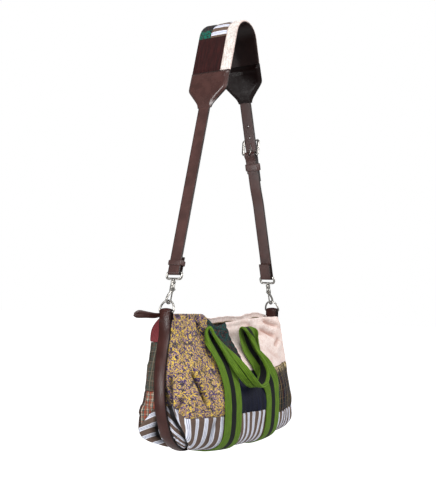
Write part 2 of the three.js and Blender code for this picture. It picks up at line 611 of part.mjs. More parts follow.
// A patch between two boundaries along the bag (given at its lower and upper edge) and two sections.
function bodyPatch({ side, from, to, low, high }) {
  const rows = Math.max(2, Math.round((high - low) * 2));
  const inset = SEAM / 2;
  const bound = (edge, v, move) => {
    if (edge === 'left') return -END_ANGLE;
    if (edge === 'right') return END_ANGLE;
    return angleAt(THREE.MathUtils.lerp(edge[0], edge[1], (v - low) / (high - low)) + move, v);
  };
  const middle = (low + high) / 2;
  const span = bound(to, middle, 0) - bound(from, middle, 0);
  const columns = Math.max(3, Math.round(span / THREE.MathUtils.degToRad(8)));
  const vInset = inset / SECTION_HEIGHT;
  const grid = steps(rows, low + vInset, high - vInset).map((v) =>
    anglesBetween(bound(from, v, inset), bound(to, v, -inset), columns).map((a) => bodyPoint(side, a, v)));
  return sheet(grid, CLOTH);
}

// Base band: front, bottom and back in one trough, lower where it meets the plaid
const BAND_TOP = ROW.belly;
const DIP = { from: 60, to: 66, plaid: 0.33, band: 0.37 }; // the step down, under the right leg of the front handle

function baseBand() {
  const top = BAND_TOP - SEAM / 2 / SECTION_HEIGHT;
  const step = angleAt((DIP.from + DIP.to) / 2, BAND_TOP);
  const columns = [
    ...anglesBetween(-END_ANGLE, angleAt(DIP.from, BAND_TOP), 13),
    ...anglesBetween(angleAt(DIP.to, BAND_TOP), END_ANGLE, 8),
  ];
  const grid = steps(14, -1, 1).map((t) => columns.map((a) => {
    const drop = t < 0 && a > step ? DIP.band : 0;
    return bodyPoint(Math.sign(t) || 1, a, Math.abs(t) * (top - drop));
  }));
  return sheet(grid, CLOTH);
}
addMesh('base_stripe', baseBand(), STRIPE, body);

const TEAL_EDGE = [0, -6]; // teal's edge with the cream, at its foot and at the hem
const LEFT_LEG = [-WEBBING.legX, -WEBBING.legX];
const RIGHT_LEG = [WEBBING.legX, WEBBING.legX];
const BACK_MID = [-45, -45];
const TARTAN_TOP = 5.3;
const BURGUNDY_FOOT = 7.4;
const bodyPatches = [
  { name: 'front_brocade', cloth: BROCADE, side: -1, from: 'left', to: LEFT_LEG, low: BAND_TOP, high: ROW.hem },
  { name: 'front_teal', cloth: TEAL, side: -1, from: LEFT_LEG, to: TEAL_EDGE, low: ROW.waist, high: ROW.hem },
  { name: 'front_cream', cloth: CREAM, side: -1, from: TEAL_EDGE, to: 'right', low: ROW.waist, high: ROW.hem },
  { name: 'front_navy', cloth: NAVY, side: -1, from: LEFT_LEG, to: RIGHT_LEG, low: BAND_TOP, high: ROW.waist },
  { name: 'front_plaid', cloth: PLAID, side: -1, from: RIGHT_LEG, to: 'right', low: BAND_TOP - DIP.plaid, high: ROW.waist },
  { name: 'back_burgundy', cloth: BURGUNDY, side: 1, from: 'left', to: BACK_MID, low: BURGUNDY_FOOT, high: ROW.hem },
  { name: 'back_green_plaid', cloth: GREEN_PLAID, side: 1, from: 'left', to: BACK_MID, low: TARTAN_TOP, high: BURGUNDY_FOOT },
  { name: 'back_tartan', cloth: TARTAN, side: 1, from: 'left', to: BACK_MID, low: BAND_TOP, high: TARTAN_TOP },
  { name: 'back_cream', cloth: CREAM, side: 1, from: BACK_MID, to: 'right', low: ROW.waist, high: ROW.hem },
  { name: 'back_brocade', cloth: BROCADE, side: 1, from: BACK_MID, to: 'right', low: BAND_TOP, high: ROW.waist },
];
for (const patch of bodyPatches) addMesh(patch.name, bodyPatch(patch), patch.cloth, body);

// Zip tapes inside the two edges of the mouth
function zipTape(side) {
  const inside = -(CLOTH / 2 + GAP + ZIP.thick / 2 + ZIP.ease);
  const top = ROW.hem - ZIP.below / SECTION_HEIGHT;
  const grid = [top - ZIP.tape / SECTION_HEIGHT, top].map((v) =>
    steps(30, -ZIP.endAngle, ZIP.endAngle).map((a) => bodyOffset(side, a, v, inside)));
  return sheet(grid, ZIP.thick);
}
addMesh('zip_tape_front', zipTape(-1), ZIP_TAPE, body);
addMesh('zip_tape_back', zipTape(1), ZIP_TAPE, body);

// Zip tab: a folded leather tab on the zip's tail, against the back of the mouth and out past the left end
function zipTab() {
  const out = CLOTH / 2 + GAP + ZIP_TAB_THICK / 2 + ZIP.ease;
  const root = [-140, -160].map((x) =>
    [ROW.hem - 0.32, ROW.hem].map((v) => bodyOffset(1, angleAt(x, v), v, out)));
  const free = ZIP_TAB_FREE.map(({ x, lowY, low, highY, high }) =>
    [new THREE.Vector3(x, lowY, low), new THREE.Vector3(x, highY, high)]);
  return sheet([...root, ...free], ZIP_TAB_THICK);
}
addMesh('zip_tab', zipTab(), LEATHER, body);

// Side strips: along each end seam, up round the D-ring's bar and down behind
function sideStrip(leg) {
  const bar = strapPoint(leg.hand * leg.ring, 0, EYE_N + RING_X);
  const barX = leg.hand * (bar.x - BAG_X);
  const loop = D_RING.wire + GAP + STRIP.thick / 2;
  const rest = CLOTH / 2 + GAP + STRIP.thick / 2 + STRIP.ease;
  const top = ROW.hem - 0.25;
  const seam = steps(16, 0, top).map((v) => {
    const row = bagRow(v);
    const next = bagRow(v + 0.05);
    const run = Math.hypot(next.end - row.end, next.endZ - row.endZ);
    const lift = (barX + loop - row.end - rest) * THREE.MathUtils.smoothstep(v, ROW.shoulder, top);
    const out = (rest + lift) / run;
    return [row.end + out * (next.endZ - row.endZ), row.endZ - out * (next.end - row.end)];
  });
  const turn = steps(7, 0, Math.PI).map((a) => [barX + loop * Math.cos(a), bar.z + loop * Math.sin(a)]);
  const inner = [STRIP.tail / 2, STRIP.tail].map((down) => [barX - loop, bar.z - down]);
  const grid = [...seam, ...turn, ...inner].map(([x, z]) =>
    [-0.5, 0, 0.5].map((k) => new THREE.Vector3(leg.hand * x, k * STRIP.width, z)));
  return sheet(grid, STRIP.thick);
}
addMesh('side_strip_left', sideStrip(LEGS.left), LEATHER, body);
addMesh('side_strip_right', sideStrip(LEGS.right), LEATHER, body);

// Webbing handles: flat legs up the cloth from under the base, then the loose folded grip
const WEB_OUT = CLOTH / 2 + GAP + WEBBING.thick / 2 + WEBBING.ease;
const LEG_TOP = 4.9; // section where a leg leaves the cloth
const BACK_FULLER = 15;

// One leg's lines across the webbing, from the keel up.
function handleLeg(side, hand) {
  const start = GAP / SECTION_HEIGHT; // the two handles meet under the keel
  return [start, ...steps(9, 0.5, LEG_TOP)].map((v) => [-0.5, 0, 0.5].map((k) => {
    const x = hand * WEBBING.legX + k * WEBBING.width;
    return bodyOffset(side, angleAt(x, v), v, WEB_OUT);
  }));
}

// The loose part's lines across the webbing, square to its path.
function handleLoop(side) {
  const last = HANDLE_FREE.length - 1;
  const columns = ['x', 'y', 'z', 'turn', 'width'];
  const at = (i) => blendRows(HANDLE_FREE, THREE.MathUtils.clamp(i, 0, last), columns);
  const fuller = side < 0 ? 0 : BACK_FULLER; // the back of the bag bulges further out near its mouth
  const place = ({ x, y, z }) =>
    new THREE.Vector3(x, -side * y + fuller * THREE.MathUtils.smoothstep(z, -720, -650), z);
  return steps(40, 0, last).map((i) => {
    const row = at(i);
    const path = place(at(i + 0.1)).sub(place(at(i - 0.1))).normalize();
    const turn = THREE.MathUtils.degToRad(row.turn);
    const across = new THREE.Vector3(Math.cos(turn), -side * Math.sin(turn), 0);
    across.addScaledVector(path, -across.dot(path)).normalize();
    const thick = THREE.MathUtils.mapLinear(row.width, WEBBING.width, 26, WEBBING.thick, WEBBING.grip);
    return { thick, line: [-0.5, 0, 0.5].map((k) => place(row).addScaledVector(across, k * row.width)) };
  });
}

function handle(side) {
  const left = handleLeg(side, -1);
  const right = handleLeg(side, 1).reverse().map((line) => line.reverse());
  const loop = handleLoop(side);
  const grid = [...left, ...loop.map(({ line }) => line), ...right];
  return sheet(grid, (i) => loop[i - left.length]?.thick ?? WEBBING.thick);
}
addMesh('handle_front', handle(-1), GREEN_WEB, body);
addMesh('handle_back', handle(1), GREEN_WEB, body);

export default bag;
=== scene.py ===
import math

import bmesh
import bpy
import numpy as np
from mathutils import Matrix, Vector


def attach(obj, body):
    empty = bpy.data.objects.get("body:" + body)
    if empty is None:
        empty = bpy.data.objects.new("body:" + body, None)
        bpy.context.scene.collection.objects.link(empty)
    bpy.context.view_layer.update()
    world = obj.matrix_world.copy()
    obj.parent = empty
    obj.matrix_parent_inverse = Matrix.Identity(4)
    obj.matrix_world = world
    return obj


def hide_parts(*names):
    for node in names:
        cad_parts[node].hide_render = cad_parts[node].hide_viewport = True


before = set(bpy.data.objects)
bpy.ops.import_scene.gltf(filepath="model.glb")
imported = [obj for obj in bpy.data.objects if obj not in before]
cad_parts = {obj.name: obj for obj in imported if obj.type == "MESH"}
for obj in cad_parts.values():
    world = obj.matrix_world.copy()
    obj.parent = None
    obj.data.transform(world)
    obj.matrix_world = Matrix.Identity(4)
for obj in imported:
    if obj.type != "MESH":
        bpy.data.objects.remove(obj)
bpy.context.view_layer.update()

# Studio
# The bag hangs in front of a white surround, over a plain pale floor far below it.
# A broad soft lamp stands before its front. Weaker ones stand by the camera, at its left end,
# low down by that end, and above it.
PHOTO_HEIGHT = 480
FOCAL_PIXELS = 850
SENSOR = 36
CAMERA_PLACE = Vector((-1.3503, -0.9340, -0.5164))
CAMERA_HEADING = math.radians(55)
CAMERA_PITCH = math.radians(3.37)
CAMERA_ROLL = math.radians(1.5)
WHITE = (1, 1, 1, 1)


def aim_camera():
    """A camera where the photo was taken from, with the same lens."""
    ahead = Vector((math.sin(CAMERA_HEADING), math.cos(CAMERA_HEADING), math.tan(CAMERA_PITCH)))
    ahead.normalize()
    level = Vector((math.cos(CAMERA_HEADING), -math.sin(CAMERA_HEADING), 0))
    upright = level.cross(ahead)
    right = level * math.cos(CAMERA_ROLL) + upright * math.sin(CAMERA_ROLL)
    up = upright * math.cos(CAMERA_ROLL) - level * math.sin(CAMERA_ROLL)
    camera = bpy.data.objects.new("camera", bpy.data.cameras.new("camera"))
    camera.data.sensor_width = SENSOR
    camera.data.lens = FOCAL_PIXELS * SENSOR / PHOTO_HEIGHT
    turned = Matrix((right, up, -ahead)).transposed().to_4x4()
    camera.matrix_world = Matrix.Translation(CAMERA_PLACE) @ turned
    bpy.context.collection.objects.link(camera)
    bpy.context.scene.camera = camera


aim_camera()


def light_surround(strength, backdrop):
    """A white surround that lights the bag softly and is seen as white behind it."""
    world = bpy.data.worlds.new("surround")
    bpy.context.scene.world = world
    world.use_nodes = True
    nodes, links = world.node_tree.nodes, world.node_tree.links
    nodes.clear()
    soft = nodes.new("ShaderNodeBackground")
    soft.inputs["Color"].default_value = WHITE
    soft.inputs["Strength"].default_value = strength
    seen = nodes.new("ShaderNodeBackground")
    seen.inputs["Color"].default_value = WHITE
    seen.inputs["Strength"].default_value = backdrop
    path = nodes.new("ShaderNodeLightPath")
    choose = nodes.new("ShaderNodeMixShader")
    links.new(path.outputs["Is Camera Ray"], choose.inputs[0])
    links.new(soft.outputs[0], choose.inputs[1])
    links.new(seen.outputs[0], choose.inputs[2])
    links.new(choose.outputs[0], nodes.new("ShaderNodeOutputWorld").inputs["Surface"])


light_surround(strength=0.27, backdrop=1.0)
bpy.context.scene.view_settings.view_transform = "Standard"

LAMPS = [
    # name, place, aim, width, height, watts
    ("front_lamp", (1.0, -2.1, 0.4), (0.0, 0.0, -0.5), 0.9, 1.1, 36),
    ("camera_lamp", (-1.6, -1.8, 0.5), (0.0, 0.0, -0.4), 0.8, 0.8, 12),
    ("left_lamp", (-2.0, 0.1, 0.3), (-0.1, 0.0, -0.5), 0.8, 0.8, 26),
    ("end_lamp", (-1.9, 0.8, -1.0), (-0.1, 0.0, -0.74), 0.3, 0.3, 14),
    ("top_lamp", (-0.4, -0.6, 1.5), (0.0, 0.0, -0.4), 1.0, 1.0, 18),
]
for lamp_name, place, aim, width, height, watts in LAMPS:
    lamp = bpy.data.objects.new(lamp_name, bpy.data.lights.new(lamp_name, "AREA"))
    lamp.data.shape = "RECTANGLE"
    lamp.data.size = width
    lamp.data.size_y = height
    lamp.data.energy = watts
    lamp.location = place
    lamp.rotation_euler = (Vector(aim) - Vector(place)).to_track_quat("-Z", "Y").to_euler()
    bpy.context.collection.objects.link(lamp)


def pale_floor(height, half):
    """A wide floor that the camera sees as white."""
    mesh = bpy.data.meshes.new("floor")
    corners = [(-half, -half, height), (half, -half, height), (half, half, height), (-half, half, height)]
    mesh.from_pydata(corners, [], [(0, 1, 2, 3)])
    floor = bpy.data.objects.new("floor", mesh)
    bpy.context.collection.objects.link(floor)
    paint = bpy.data.materials.new("pale_floor")
    paint.use_nodes = True
    shader = paint.node_tree.nodes["Principled BSDF"]
    shader.inputs["Base Color"].default_value = (0.8, 0.8, 0.8, 1)
    shader.inputs["Roughness"].default_value = 0.9
    shader.inputs["Emission Color"].default_value = WHITE
    path = paint.node_tree.nodes.new("ShaderNodeLightPath")
    paint.node_tree.links.new(path.outputs["Is Camera Ray"], shader.inputs["Emission Strength"])
    mesh.materials.append(paint)


pale_floor(height=-1.75, half=30)

# Striped base band
# A trough of brown and white striped cotton, sewn to the patches above it and pulled up at its two ends.
# The bag's whole cloth form is worked out here, as sections from the keel up to the hem with sags, bulges
# and folds.
MM = 0.001
# How far right of the strap's middle the bag hangs, its cloth's thickness, and the gap at a seam
BAG_X, CLOTH, SEAM = 10.0, 1.8, 0.6
# Cloth between one section and the next, taken as even
SECTION_STEP = 32.0
KEEL, BASE, TURN, HEEL, BELLY, MIDDLE, WAIST, SHOULDER, NECK, HEM = range(10)
# Of each section: half depths, height in the middle, half length, height at the ends, squareness,
# gap at the ends, and two bulges of the corners
SECTION_COLUMNS = ("front", "back", "mid", "end", "end_z", "boxy", "gap", "lobe", "swell")
SECTIONS = np.array([
    (0, 0, -808, 112, -805, 2.6, 0, 0, 0),
    (34, 34, -807, 136, -798, 2.8, 5, 12, 0),
    (57, 57, -798, 154, -786, 3.2, 9, 20, 0),
    (69, 69, -779, 168, -769, 3.4, 9, 22, 0),
    (72, 72, -742, 181, -738, 3.2, 9, 12, 0),
    (70, 71, -710, 187, -708, 2.9, 9, 4, 0),
    (56, 62, -668, 189, -670, 2.6, 9, 0, 5),
    (33, 46, -624, 185, -628, 2.5, 9, 0, 9),
    (15, 27, -588, 177, -588, 2.5, 9, 0, 13),
    (9.5, 10, -560, 171.5, -560, 2.5, 9, 0, 1),
])
LOBE_ANGLE, LOBE_SPREAD, LOBE_CLEAR = 72, 14, (4, 18)
LOBE_DEEP, LOBE_LONG = 0.65, 0.75
CORNER_SWELL = {(-1, -1): 0.15, (-1, 1): 1.2, (1, -1): 1.4, (1, 1): 0.7}
# Sag of each edge of the mouth: place along the bag, drop
HEM_SAG = {
    -1: np.array([(-180, 0), (-88, 1), (-36, 24), (0, 17), (60, 12), (140, 9), (180, 10)], float),
    1: np.array([(-180, 0), (-100, 6), (-20, 12), (60, 11), (140, 3), (180, 7)], float),
}
# The fold between the strip and the corner: section, degrees along the bag, depth
END_FOLD = np.array([
    (0, 76, 0), (1, 75, 8), (2, 77, 12), (3, 80, 13), (4, 85.5, 7), (5, 87, 3), (6, 88, 0),
])
END_FOLD_SPREAD = {-1: 3.6, 1: 2.4}
BACK_FOLD_TURN = 4.0
# The line of painted shade in that fold: turn from it, spread, strength, and the depth at which a fold's
# painted shade is full
SHADE_TURN, SHADE_SPREAD, SHADE_GAIN, FULL_SHADE_DEPTH = {-1: 1.2, 1: 0.5}, 1.5, 3.0, 6.0
# Creases by side: ends of the crease on the cloth, width, depth
CREASES = {
    -1: [
        ((-156, -39, -655), (-133, -64, -724), 3.6, 7.5),
        ((-188, -21, -660), (-184, -23, -722), 4.0, 6.0),
        ((-178, -45, -702), (-184, -31, -734), 3.4, 5.5),
        ((-107, -12, -573), (-80, -20, -607), 4.0, 4.0),
        ((-102, -11, -562), (-101, -18, -594), 4.5, 3.0),
        ((-128, -30, -640), (-112, -50, -676), 7.0, 2.0),
        ((-150, -20, -590), (-162, -32, -640), 8.0, 2.2),
        ((104, -13, -590), (160, -21, -609), 5.0, 6.0),
        ((122, -11, -576), (172, -14, -590), 4.0, 5.0),
        ((60, -13, -582), (118, -22, -603), 5.0, 4.5),
        ((168, -10, -566), (177, -18, -594), 12.0, -5.0),
        ((40, -30, -626), (76, -36, -640), 6.0, 2.5),
        ((172, -24, -612), (140, -28, -630), 4.6, 5.0),
        ((100, -30, -632), (150, -40, -652), 9.0, 2.2),
        ((92, -38, -640), (104, -52, -664), 6.0, 2.0),
        ((-10, -14, -600), (-14, -34, -634), 6.0, 3.0),
        ((36, -66, -690), (34, -72, -736), 4.0, 2.2),
        ((2, -65, -684), (-2, -72, -738), 6.0, 1.4),
        ((-112, -68, -744), (-128, -58, -786), 7.0, 3.0),
        ((110, -66, -700), (114, -70, -736), 5.0, 1.8),
        ((138, -60, -690), (140, -66, -738), 5.0, 2.0),
    ],
    1: [
        ((-184, 33, -606), (-188, 36, -652), 15.0, 7.0),
        ((-190, 48, -722), (-188, 52, -742), 14.0, -4.0),
        ((-184, 32, -668), (-182, 40, -735), 6.0, 4.0),
        ((-140, 40, -600), (-120, 62, -680), 9.0, 3.0),
        ((-60, 50, -620), (-70, 70, -720), 10.0, 2.0),
        ((120, 40, -610), (140, 60, -700), 9.0, 3.0),
        ((60, 40, -600), (40, 62, -670), 10.0, 2.0),
        ((170, 30, -640), (176, 40, -730), 7.0, 3.5),
    ],
}
BACK_HEM_FLARE = 5.0
TEAL_POUCH = dict(x=-16, z=-598, wide=13, high=13, out=9)
# Heights of the hanging cloth's slow waves, of the gathers at two seams, and of the hem's ripple
WAVES, BAND_GATHER, WAIST_GATHER, HEM_RIPPLE = (1.3, 0.9, 0.8), 1.3, 0.8, 0.8


def ease(value, low, high):
    """A smooth step from 0 to 1."""
    t = np.clip((value - low) / (high - low), 0, 1)
    return t * t * (3 - 2 * t)


def bump(value, centre, spread):
    """A rounded bump of height 1."""
    return np.exp(-(((value - centre) / spread) ** 2))


def blend_rows(table, index):
    """A smooth curve through the rows of a table, at an index that may lie between them."""
    last = len(table) - 1
    index = np.asarray(index, float)
    i = np.clip(np.floor(index).astype(int), 0, last - 1)
    t = (index - i)[..., None]
    a, b, c, d = (table[np.clip(i + k, 0, last)] for k in (-1, 0, 1, 2))
    rise, fall = (c - a) / 2, (d - b) / 2
    return b + t * (rise + t * (3 * (c - b) - 2 * rise - fall + t * (2 * (b - c) + rise + fall)))


def along(table, place, column=1):
    """A value at a place between a table's rows, whose first column holds the places."""
    i = np.clip(np.searchsorted(table[:, 0], place, side="right") - 1, 0, len(table) - 2)
    share = ease(place, table[i, 0], table[i + 1, 0])
    return table[i, column] + (table[i + 1, column] - table[i, column]) * share


def section(v):
    """The values at a place between the sections, by name."""
    return dict(zip(SECTION_COLUMNS, np.moveaxis(blend_rows(SECTIONS, v), -1, 0)))


def bag_form(side, angle, v):
    """A point of the bag's smooth form, by its side, angle round from the middle and section."""
    row = section(v)
    hand = np.where(angle < 0, -1.0, 1.0)
    reach = np.abs(np.sin(angle)) ** (2 / row["boxy"])
    full = np.maximum(np.cos(angle), 0) ** (2 / row["boxy"])
    degrees = np.degrees(np.abs(angle))
    swell = np.where(hand < 0, CORNER_SWELL[side, -1], CORNER_SWELL[side, 1])
    puff = (row["lobe"] + row["swell"] * swell) * bump(degrees, LOBE_ANGLE, LOBE_SPREAD)
    puff = puff * ease(90 - degrees, *LOBE_CLEAR)
    half = row["front"] if side < 0 else row["back"]
    depth = row["gap"] + (half - row["gap"]) * full + LOBE_DEEP * puff
    x = hand * (row["end"] * reach + LOBE_LONG * puff)
    sag = along(HEM_SAG[side], x) * ease(v, WAIST, HEM)
    z = row["mid"] + (row["end_z"] - row["mid"]) * reach ** 3 - sag
    return np.stack([x, side * depth, z], -1)


def unit(vectors):
    """The same directions with length 1."""
    return vectors / np.maximum(np.linalg.norm(vectors, axis=-1, keepdims=True), 1e-9)


def bag_normal(side, angle, v):
    """The direction straight out of the bag's form."""
    step, rise = 0.01, 0.05
    across = bag_form(side, angle + step, v) - bag_form(side, angle - step, v)
    up = bag_form(side, angle, np.minimum(v + rise, HEM)) - bag_form(side, angle, np.maximum(v - rise, 0))
    return unit(np.cross(across, up)) * -side


# A crease's depth at its two ends, and the share of its length over which it deepens
CREASE_ENDS, CREASE_TAPER = 0.25, 0.25
# The ridge beside it: height, place and width, as shares of the crease's depth and width
RIDGE_HIGH, RIDGE_AT, RIDGE_WIDE = 0.5, 2.1, 1.4


def crease_depths(side, point, normal):
    """Each crease is a valley with a low ridge along one side, and it fades toward its two ends."""
    shift = np.zeros(point.shape[:-1])
    for start, stop, width, depth in CREASES[side]:
        start, stop = np.array(start, float), np.array(stop, float)
        line = stop - start
        share = np.clip(((point - start) @ line) / (line @ line), 0, 1)
        away = point - start - share[..., None] * line
        away = away - (away * normal).sum(-1, keepdims=True) * normal
        turned = np.sign((np.cross(normal, line) * away).sum(-1))
        far = np.linalg.norm(away, axis=-1)
        deepen = (1 - CREASE_ENDS) * ease(share, 0, CREASE_TAPER)
        taper = CREASE_ENDS + deepen * ease(1 - share, 0, CREASE_TAPER)
        ridge = RIDGE_HIGH * bump(far * turned, RIDGE_AT * width, RIDGE_WIDE * width)
        shift += depth * taper * (ridge - bump(far, 0, width))
    return shift


# Where these folds come in: degrees from the bag's ends, sections, and places along the bag
FOLDS_CLEAR, DRAPE_FROM, FLARE_FROM = (3, 14), (0.6, 2.5), (-120, -50)


def bag_folds(side, angle, v, point, normal):
    """How far the cloth stands out from the bag's form, and how much painted shade its folds and creases get.
    """
    degrees = np.degrees(np.abs(angle))
    x, _, z = np.moveaxis(point, -1, 0)
    creases = crease_depths(side, point, normal)
    line = along(END_FOLD, v, 1) + (BACK_FOLD_TURN if side > 0 else 0)
    deep = along(END_FOLD, v, 2)
    valley = deep * bump(degrees, line, END_FOLD_SPREAD[side])
    pouch = TEAL_POUCH
    swell = pouch["out"] * bump(x, pouch["x"], pouch["wide"]) * bump(z, pouch["z"], pouch["high"])
    swell = swell * (side < 0)
    drape = WAVES[0] * np.sin(x / 15 + 1.4 * np.sin(z / 41) + side)
    drape = drape + WAVES[1] * np.sin(x / 7.5 - z / 23 + 2 * side)
    drape = drape + WAVES[2] * np.sin(z / 13 + 1.7 * np.sin(x / 29))
    gather = BAND_GATHER * bump(v, BELLY + 0.25, 0.45) + WAIST_GATHER * bump(v, WAIST, 0.3)
    gather = gather * np.sin(x / 3.4 + 2 * np.sin(x / 17))
    ripple = HEM_RIPPLE * np.sin(x / 4.7 + 1.5 * np.sin(x / 21)) * bump(v, HEM, 0.5)
    flare = BACK_HEM_FLARE * bump(v, HEM, 0.35) * ease(x, *FLARE_FROM) * (side > 0)
    clear = ease(90 - degrees, *FOLDS_CLEAR)
    shift = creases - valley + swell + clear * (drape * ease(v, *DRAPE_FROM) + gather + ripple + flare)
    # Painted shade: the line beside the end fold and the creases' valleys are darkened in colour, where
    # shadow falls in them.
    dark = SHADE_GAIN * deep * bump(degrees, line + SHADE_TURN[side], SHADE_SPREAD)
    return shift, np.clip((dark - creases) / FULL_SHADE_DEPTH, 0, 1)


def bag_cloth(side, angle, v, out):
    """Points on the middle of the cloth, its normals, and how much painted shade its folds get."""
    point = bag_form(side, angle, v)
    normal = bag_normal(side, angle, v)
    shift, painted_shade_and_edge_paint = bag_folds(side, angle, v, point, normal)
    return point + normal * (shift + out)[..., None] + np.array([BAG_X, 0, 0]), normal, painted_shade_and_edge_paint


# The walls end just short of a right angle, and a mesh's columns crowd toward its ends
END_ANGLE = math.pi / 2 - 0.001
CROWDING = 1.6


def angle_at(x, v):
    """The angle of a place along the bag at a section."""
    row = section(v)
    reach = np.minimum(np.abs(x) / row["end"], 1)
    return np.sign(x) * np.arcsin(reach ** (row["boxy"] / 2))


def angles_between(start, stop, count):
    """Angles from one to another, row by row, closer together toward the bag's ends."""

    def even(a):
        return np.sign(a) * (1 - (1 - np.abs(a) / END_ANGLE) ** (1 / CROWDING))

    t = np.linspace(even(start), even(stop), count, axis=-1)
    return np.sign(t) * END_ANGLE * (1 - (1 - np.abs(t)) ** CROWDING)


def run_length(line):
    """Distance along a line of points, at each of them."""
    return np.concatenate([[0], np.cumsum(np.linalg.norm(np.diff(line, axis=0), axis=1))])


def cloth_places(side, angle, v):
    """Distance along the cloth from the bag's middle, and up it from the keel."""
    dense = np.linspace(0, END_ANGLE, 120)
    heights = np.linspace(0, HEM, 200)
    climbed = run_length(bag_form(side, np.zeros_like(heights), heights))
    across = np.empty_like(angle)
    for i in range(len(angle)):
        height = np.full_like(dense, np.mean(v[i]))
        for hand in (-1, 1):
            run = run_length(bag_form(side, hand * dense, height))
            mine = np.sign(angle[i]) == hand
            across[i, mine] = hand * np.interp(np.abs(angle[i, mine]), dense, run)
        across[i, angle[i] == 0] = 0
    return np.stack([across, np.interp(v, heights, climbed)], -1)


SHARP = math.radians(50)
PATTERN_UNIT = 100.0


def finish_mesh(name, points, faces, pattern=None, painted_shade_and_edge_paint=None):
    """A smooth mesh in metres, with the cloth's own places for its pattern and how much painted shade and
    edge paint it takes.
    """
    mesh = bpy.data.meshes.new(name)
    mesh.from_pydata((np.asarray(points) * MM).tolist(), [], faces)
    if pattern is not None:
        corner = np.empty(len(mesh.loops), int)
        mesh.loops.foreach_get("vertex_index", corner)
        layer = mesh.uv_layers.new(name="pattern")
        layer.data.foreach_set("uv", (np.asarray(pattern)[corner] / PATTERN_UNIT).ravel())
    # The attribute darkens the colour: painted shade in folds, creases and seams, and on the end pieces their
    # real painted edges.
    if painted_shade_and_edge_paint is not None:
        layer = mesh.attributes.new("painted_shade_and_edge_paint", "FLOAT", "POINT")
        layer.data.foreach_set("value", np.asarray(painted_shade_and_edge_paint, float).ravel())
    shape = bmesh.new()
    shape.from_mesh(mesh)
    bmesh.ops.recalc_face_normals(shape, faces=shape.faces)
    shape.to_mesh(mesh)
    shape.free()
    mesh.polygons.foreach_set("use_smooth", np.ones(len(mesh.polygons), bool))
    mesh.set_sharp_from_angle(angle=SHARP)
    return mesh


def grid_faces(rows, columns, first=0):
    """Faces between the rows and columns of a grid of points."""
    index = first + np.arange(rows * columns).reshape(rows, columns)
    return np.stack([index[:-1, :-1], index[:-1, 1:], index[1:, 1:], index[1:, :-1]], -1).reshape(-1, 4)


def shell_mesh(name, outer, inner, pattern, painted_shade_and_edge_paint=None):
    """A closed sheet between an outer and an inner grid of points."""
    rows, columns = outer.shape[:2]
    count = rows * columns
    index = np.arange(count).reshape(rows, columns)
    border = np.concatenate([index[0, :-1], index[:-1, -1], index[-1, :0:-1], index[:0:-1, 0]])
    after = np.roll(border, -1)
    rim = np.stack([border, after, after + count, border + count], -1)
    faces = np.concatenate([grid_faces(rows, columns), grid_faces(rows, columns, count)[:, ::-1], rim])
    points = np.concatenate([outer.reshape(-1, 3), inner.reshape(-1, 3)])
    places = np.tile(pattern.reshape(-1, 2), (2, 1))
    painted_shades = None if painted_shade_and_edge_paint is None else np.tile(painted_shade_and_edge_paint.ravel(), 2)
    return finish_mesh(name, points, faces.tolist(), places, painted_shades)


def add_piece(mesh, material, body="bag"):
    """Puts a mesh in the scene as a piece of the same name that rides on a body."""
    mesh.materials.append(material)
    piece = bpy.data.objects.new(mesh.name, mesh)
    bpy.context.collection.objects.link(piece)
    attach(piece, body)
    return piece


def place_piece(node, mesh, material, body="bag"):
    """Adds a piece that stands for a node of the frame."""
    piece = add_piece(mesh, material, body)
    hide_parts(node)
    return piece


class Shader:
    """Adds and links nodes in one tree."""

    def __init__(self, tree):
        self.tree = tree

    def add(self, kind, *values, **settings):
        node = self.tree.nodes.new("ShaderNode" + kind)
        for key, value in settings.items():
            setattr(node, key, value)
        for socket, value in zip(node.inputs, values):
            self.feed(socket, value)
        return node

    def feed(self, socket, value):
        """Links a socket or sets its value."""
        if isinstance(value, bpy.types.NodeSocket):
            self.tree.links.new(value, socket)
        elif value is not None:
            socket.default_value = value

    def math(self, operation, a, b=None, clamp=False):
        return self.add("Math", a, b, operation=operation, use_clamp=clamp).outputs[0]

    def mix(self, share, a, b):
        node = self.add("Mix", data_type="RGBA")
        self.feed(node.inputs["Factor"], share)
        self.feed(node.inputs[6], a)
        self.feed(node.inputs[7], b)
        return node.outputs[2]

    def ramp(self, value, low, high, to_low=0.0, to_high=1.0):
        """A smooth step from one value to another."""
        node = self.add("MapRange", value, low, high, to_low, to_high, interpolation_type="SMOOTHSTEP")
        return node.outputs[0]

    def stretch(self, vector, *scale):
        return self.add("VectorMath", vector, scale, operation="MULTIPLY").outputs[0]

    def noise(self, vector, scale, detail, distortion=0.0):
        node = self.add("TexNoise")
        self.feed(node.inputs["Vector"], vector)
        node.inputs["Scale"].default_value = scale
        node.inputs["Detail"].default_value = detail
        node.inputs["Distortion"].default_value = distortion
        return node.outputs["Fac"]

    def group(self, tree, **inputs):
        """Adds a node group and gives back its outputs."""
        node = self.tree.nodes.new("ShaderNodeGroup")
        node.node_tree = tree
        for key, value in inputs.items():
            self.feed(node.inputs[key], value)
        return node.outputs


def node_group(name, inputs, outputs):
    """An empty shader group with named sockets, and what its nodes are made and linked with."""
    tree = bpy.data.node_groups.new(name, "ShaderNodeTree")
    for word, kind in inputs.items():
        tree.interface.new_socket(word, in_out="INPUT", socket_type="NodeSocket" + kind)
    for word, kind in outputs.items():
        tree.interface.new_socket(word, in_out="OUTPUT", socket_type="NodeSocket" + kind)
    entry = tree.nodes.new("NodeGroupInput").outputs
    leave = tree.nodes.new("NodeGroupOutput").inputs
    return tree, Shader(tree), entry, leave


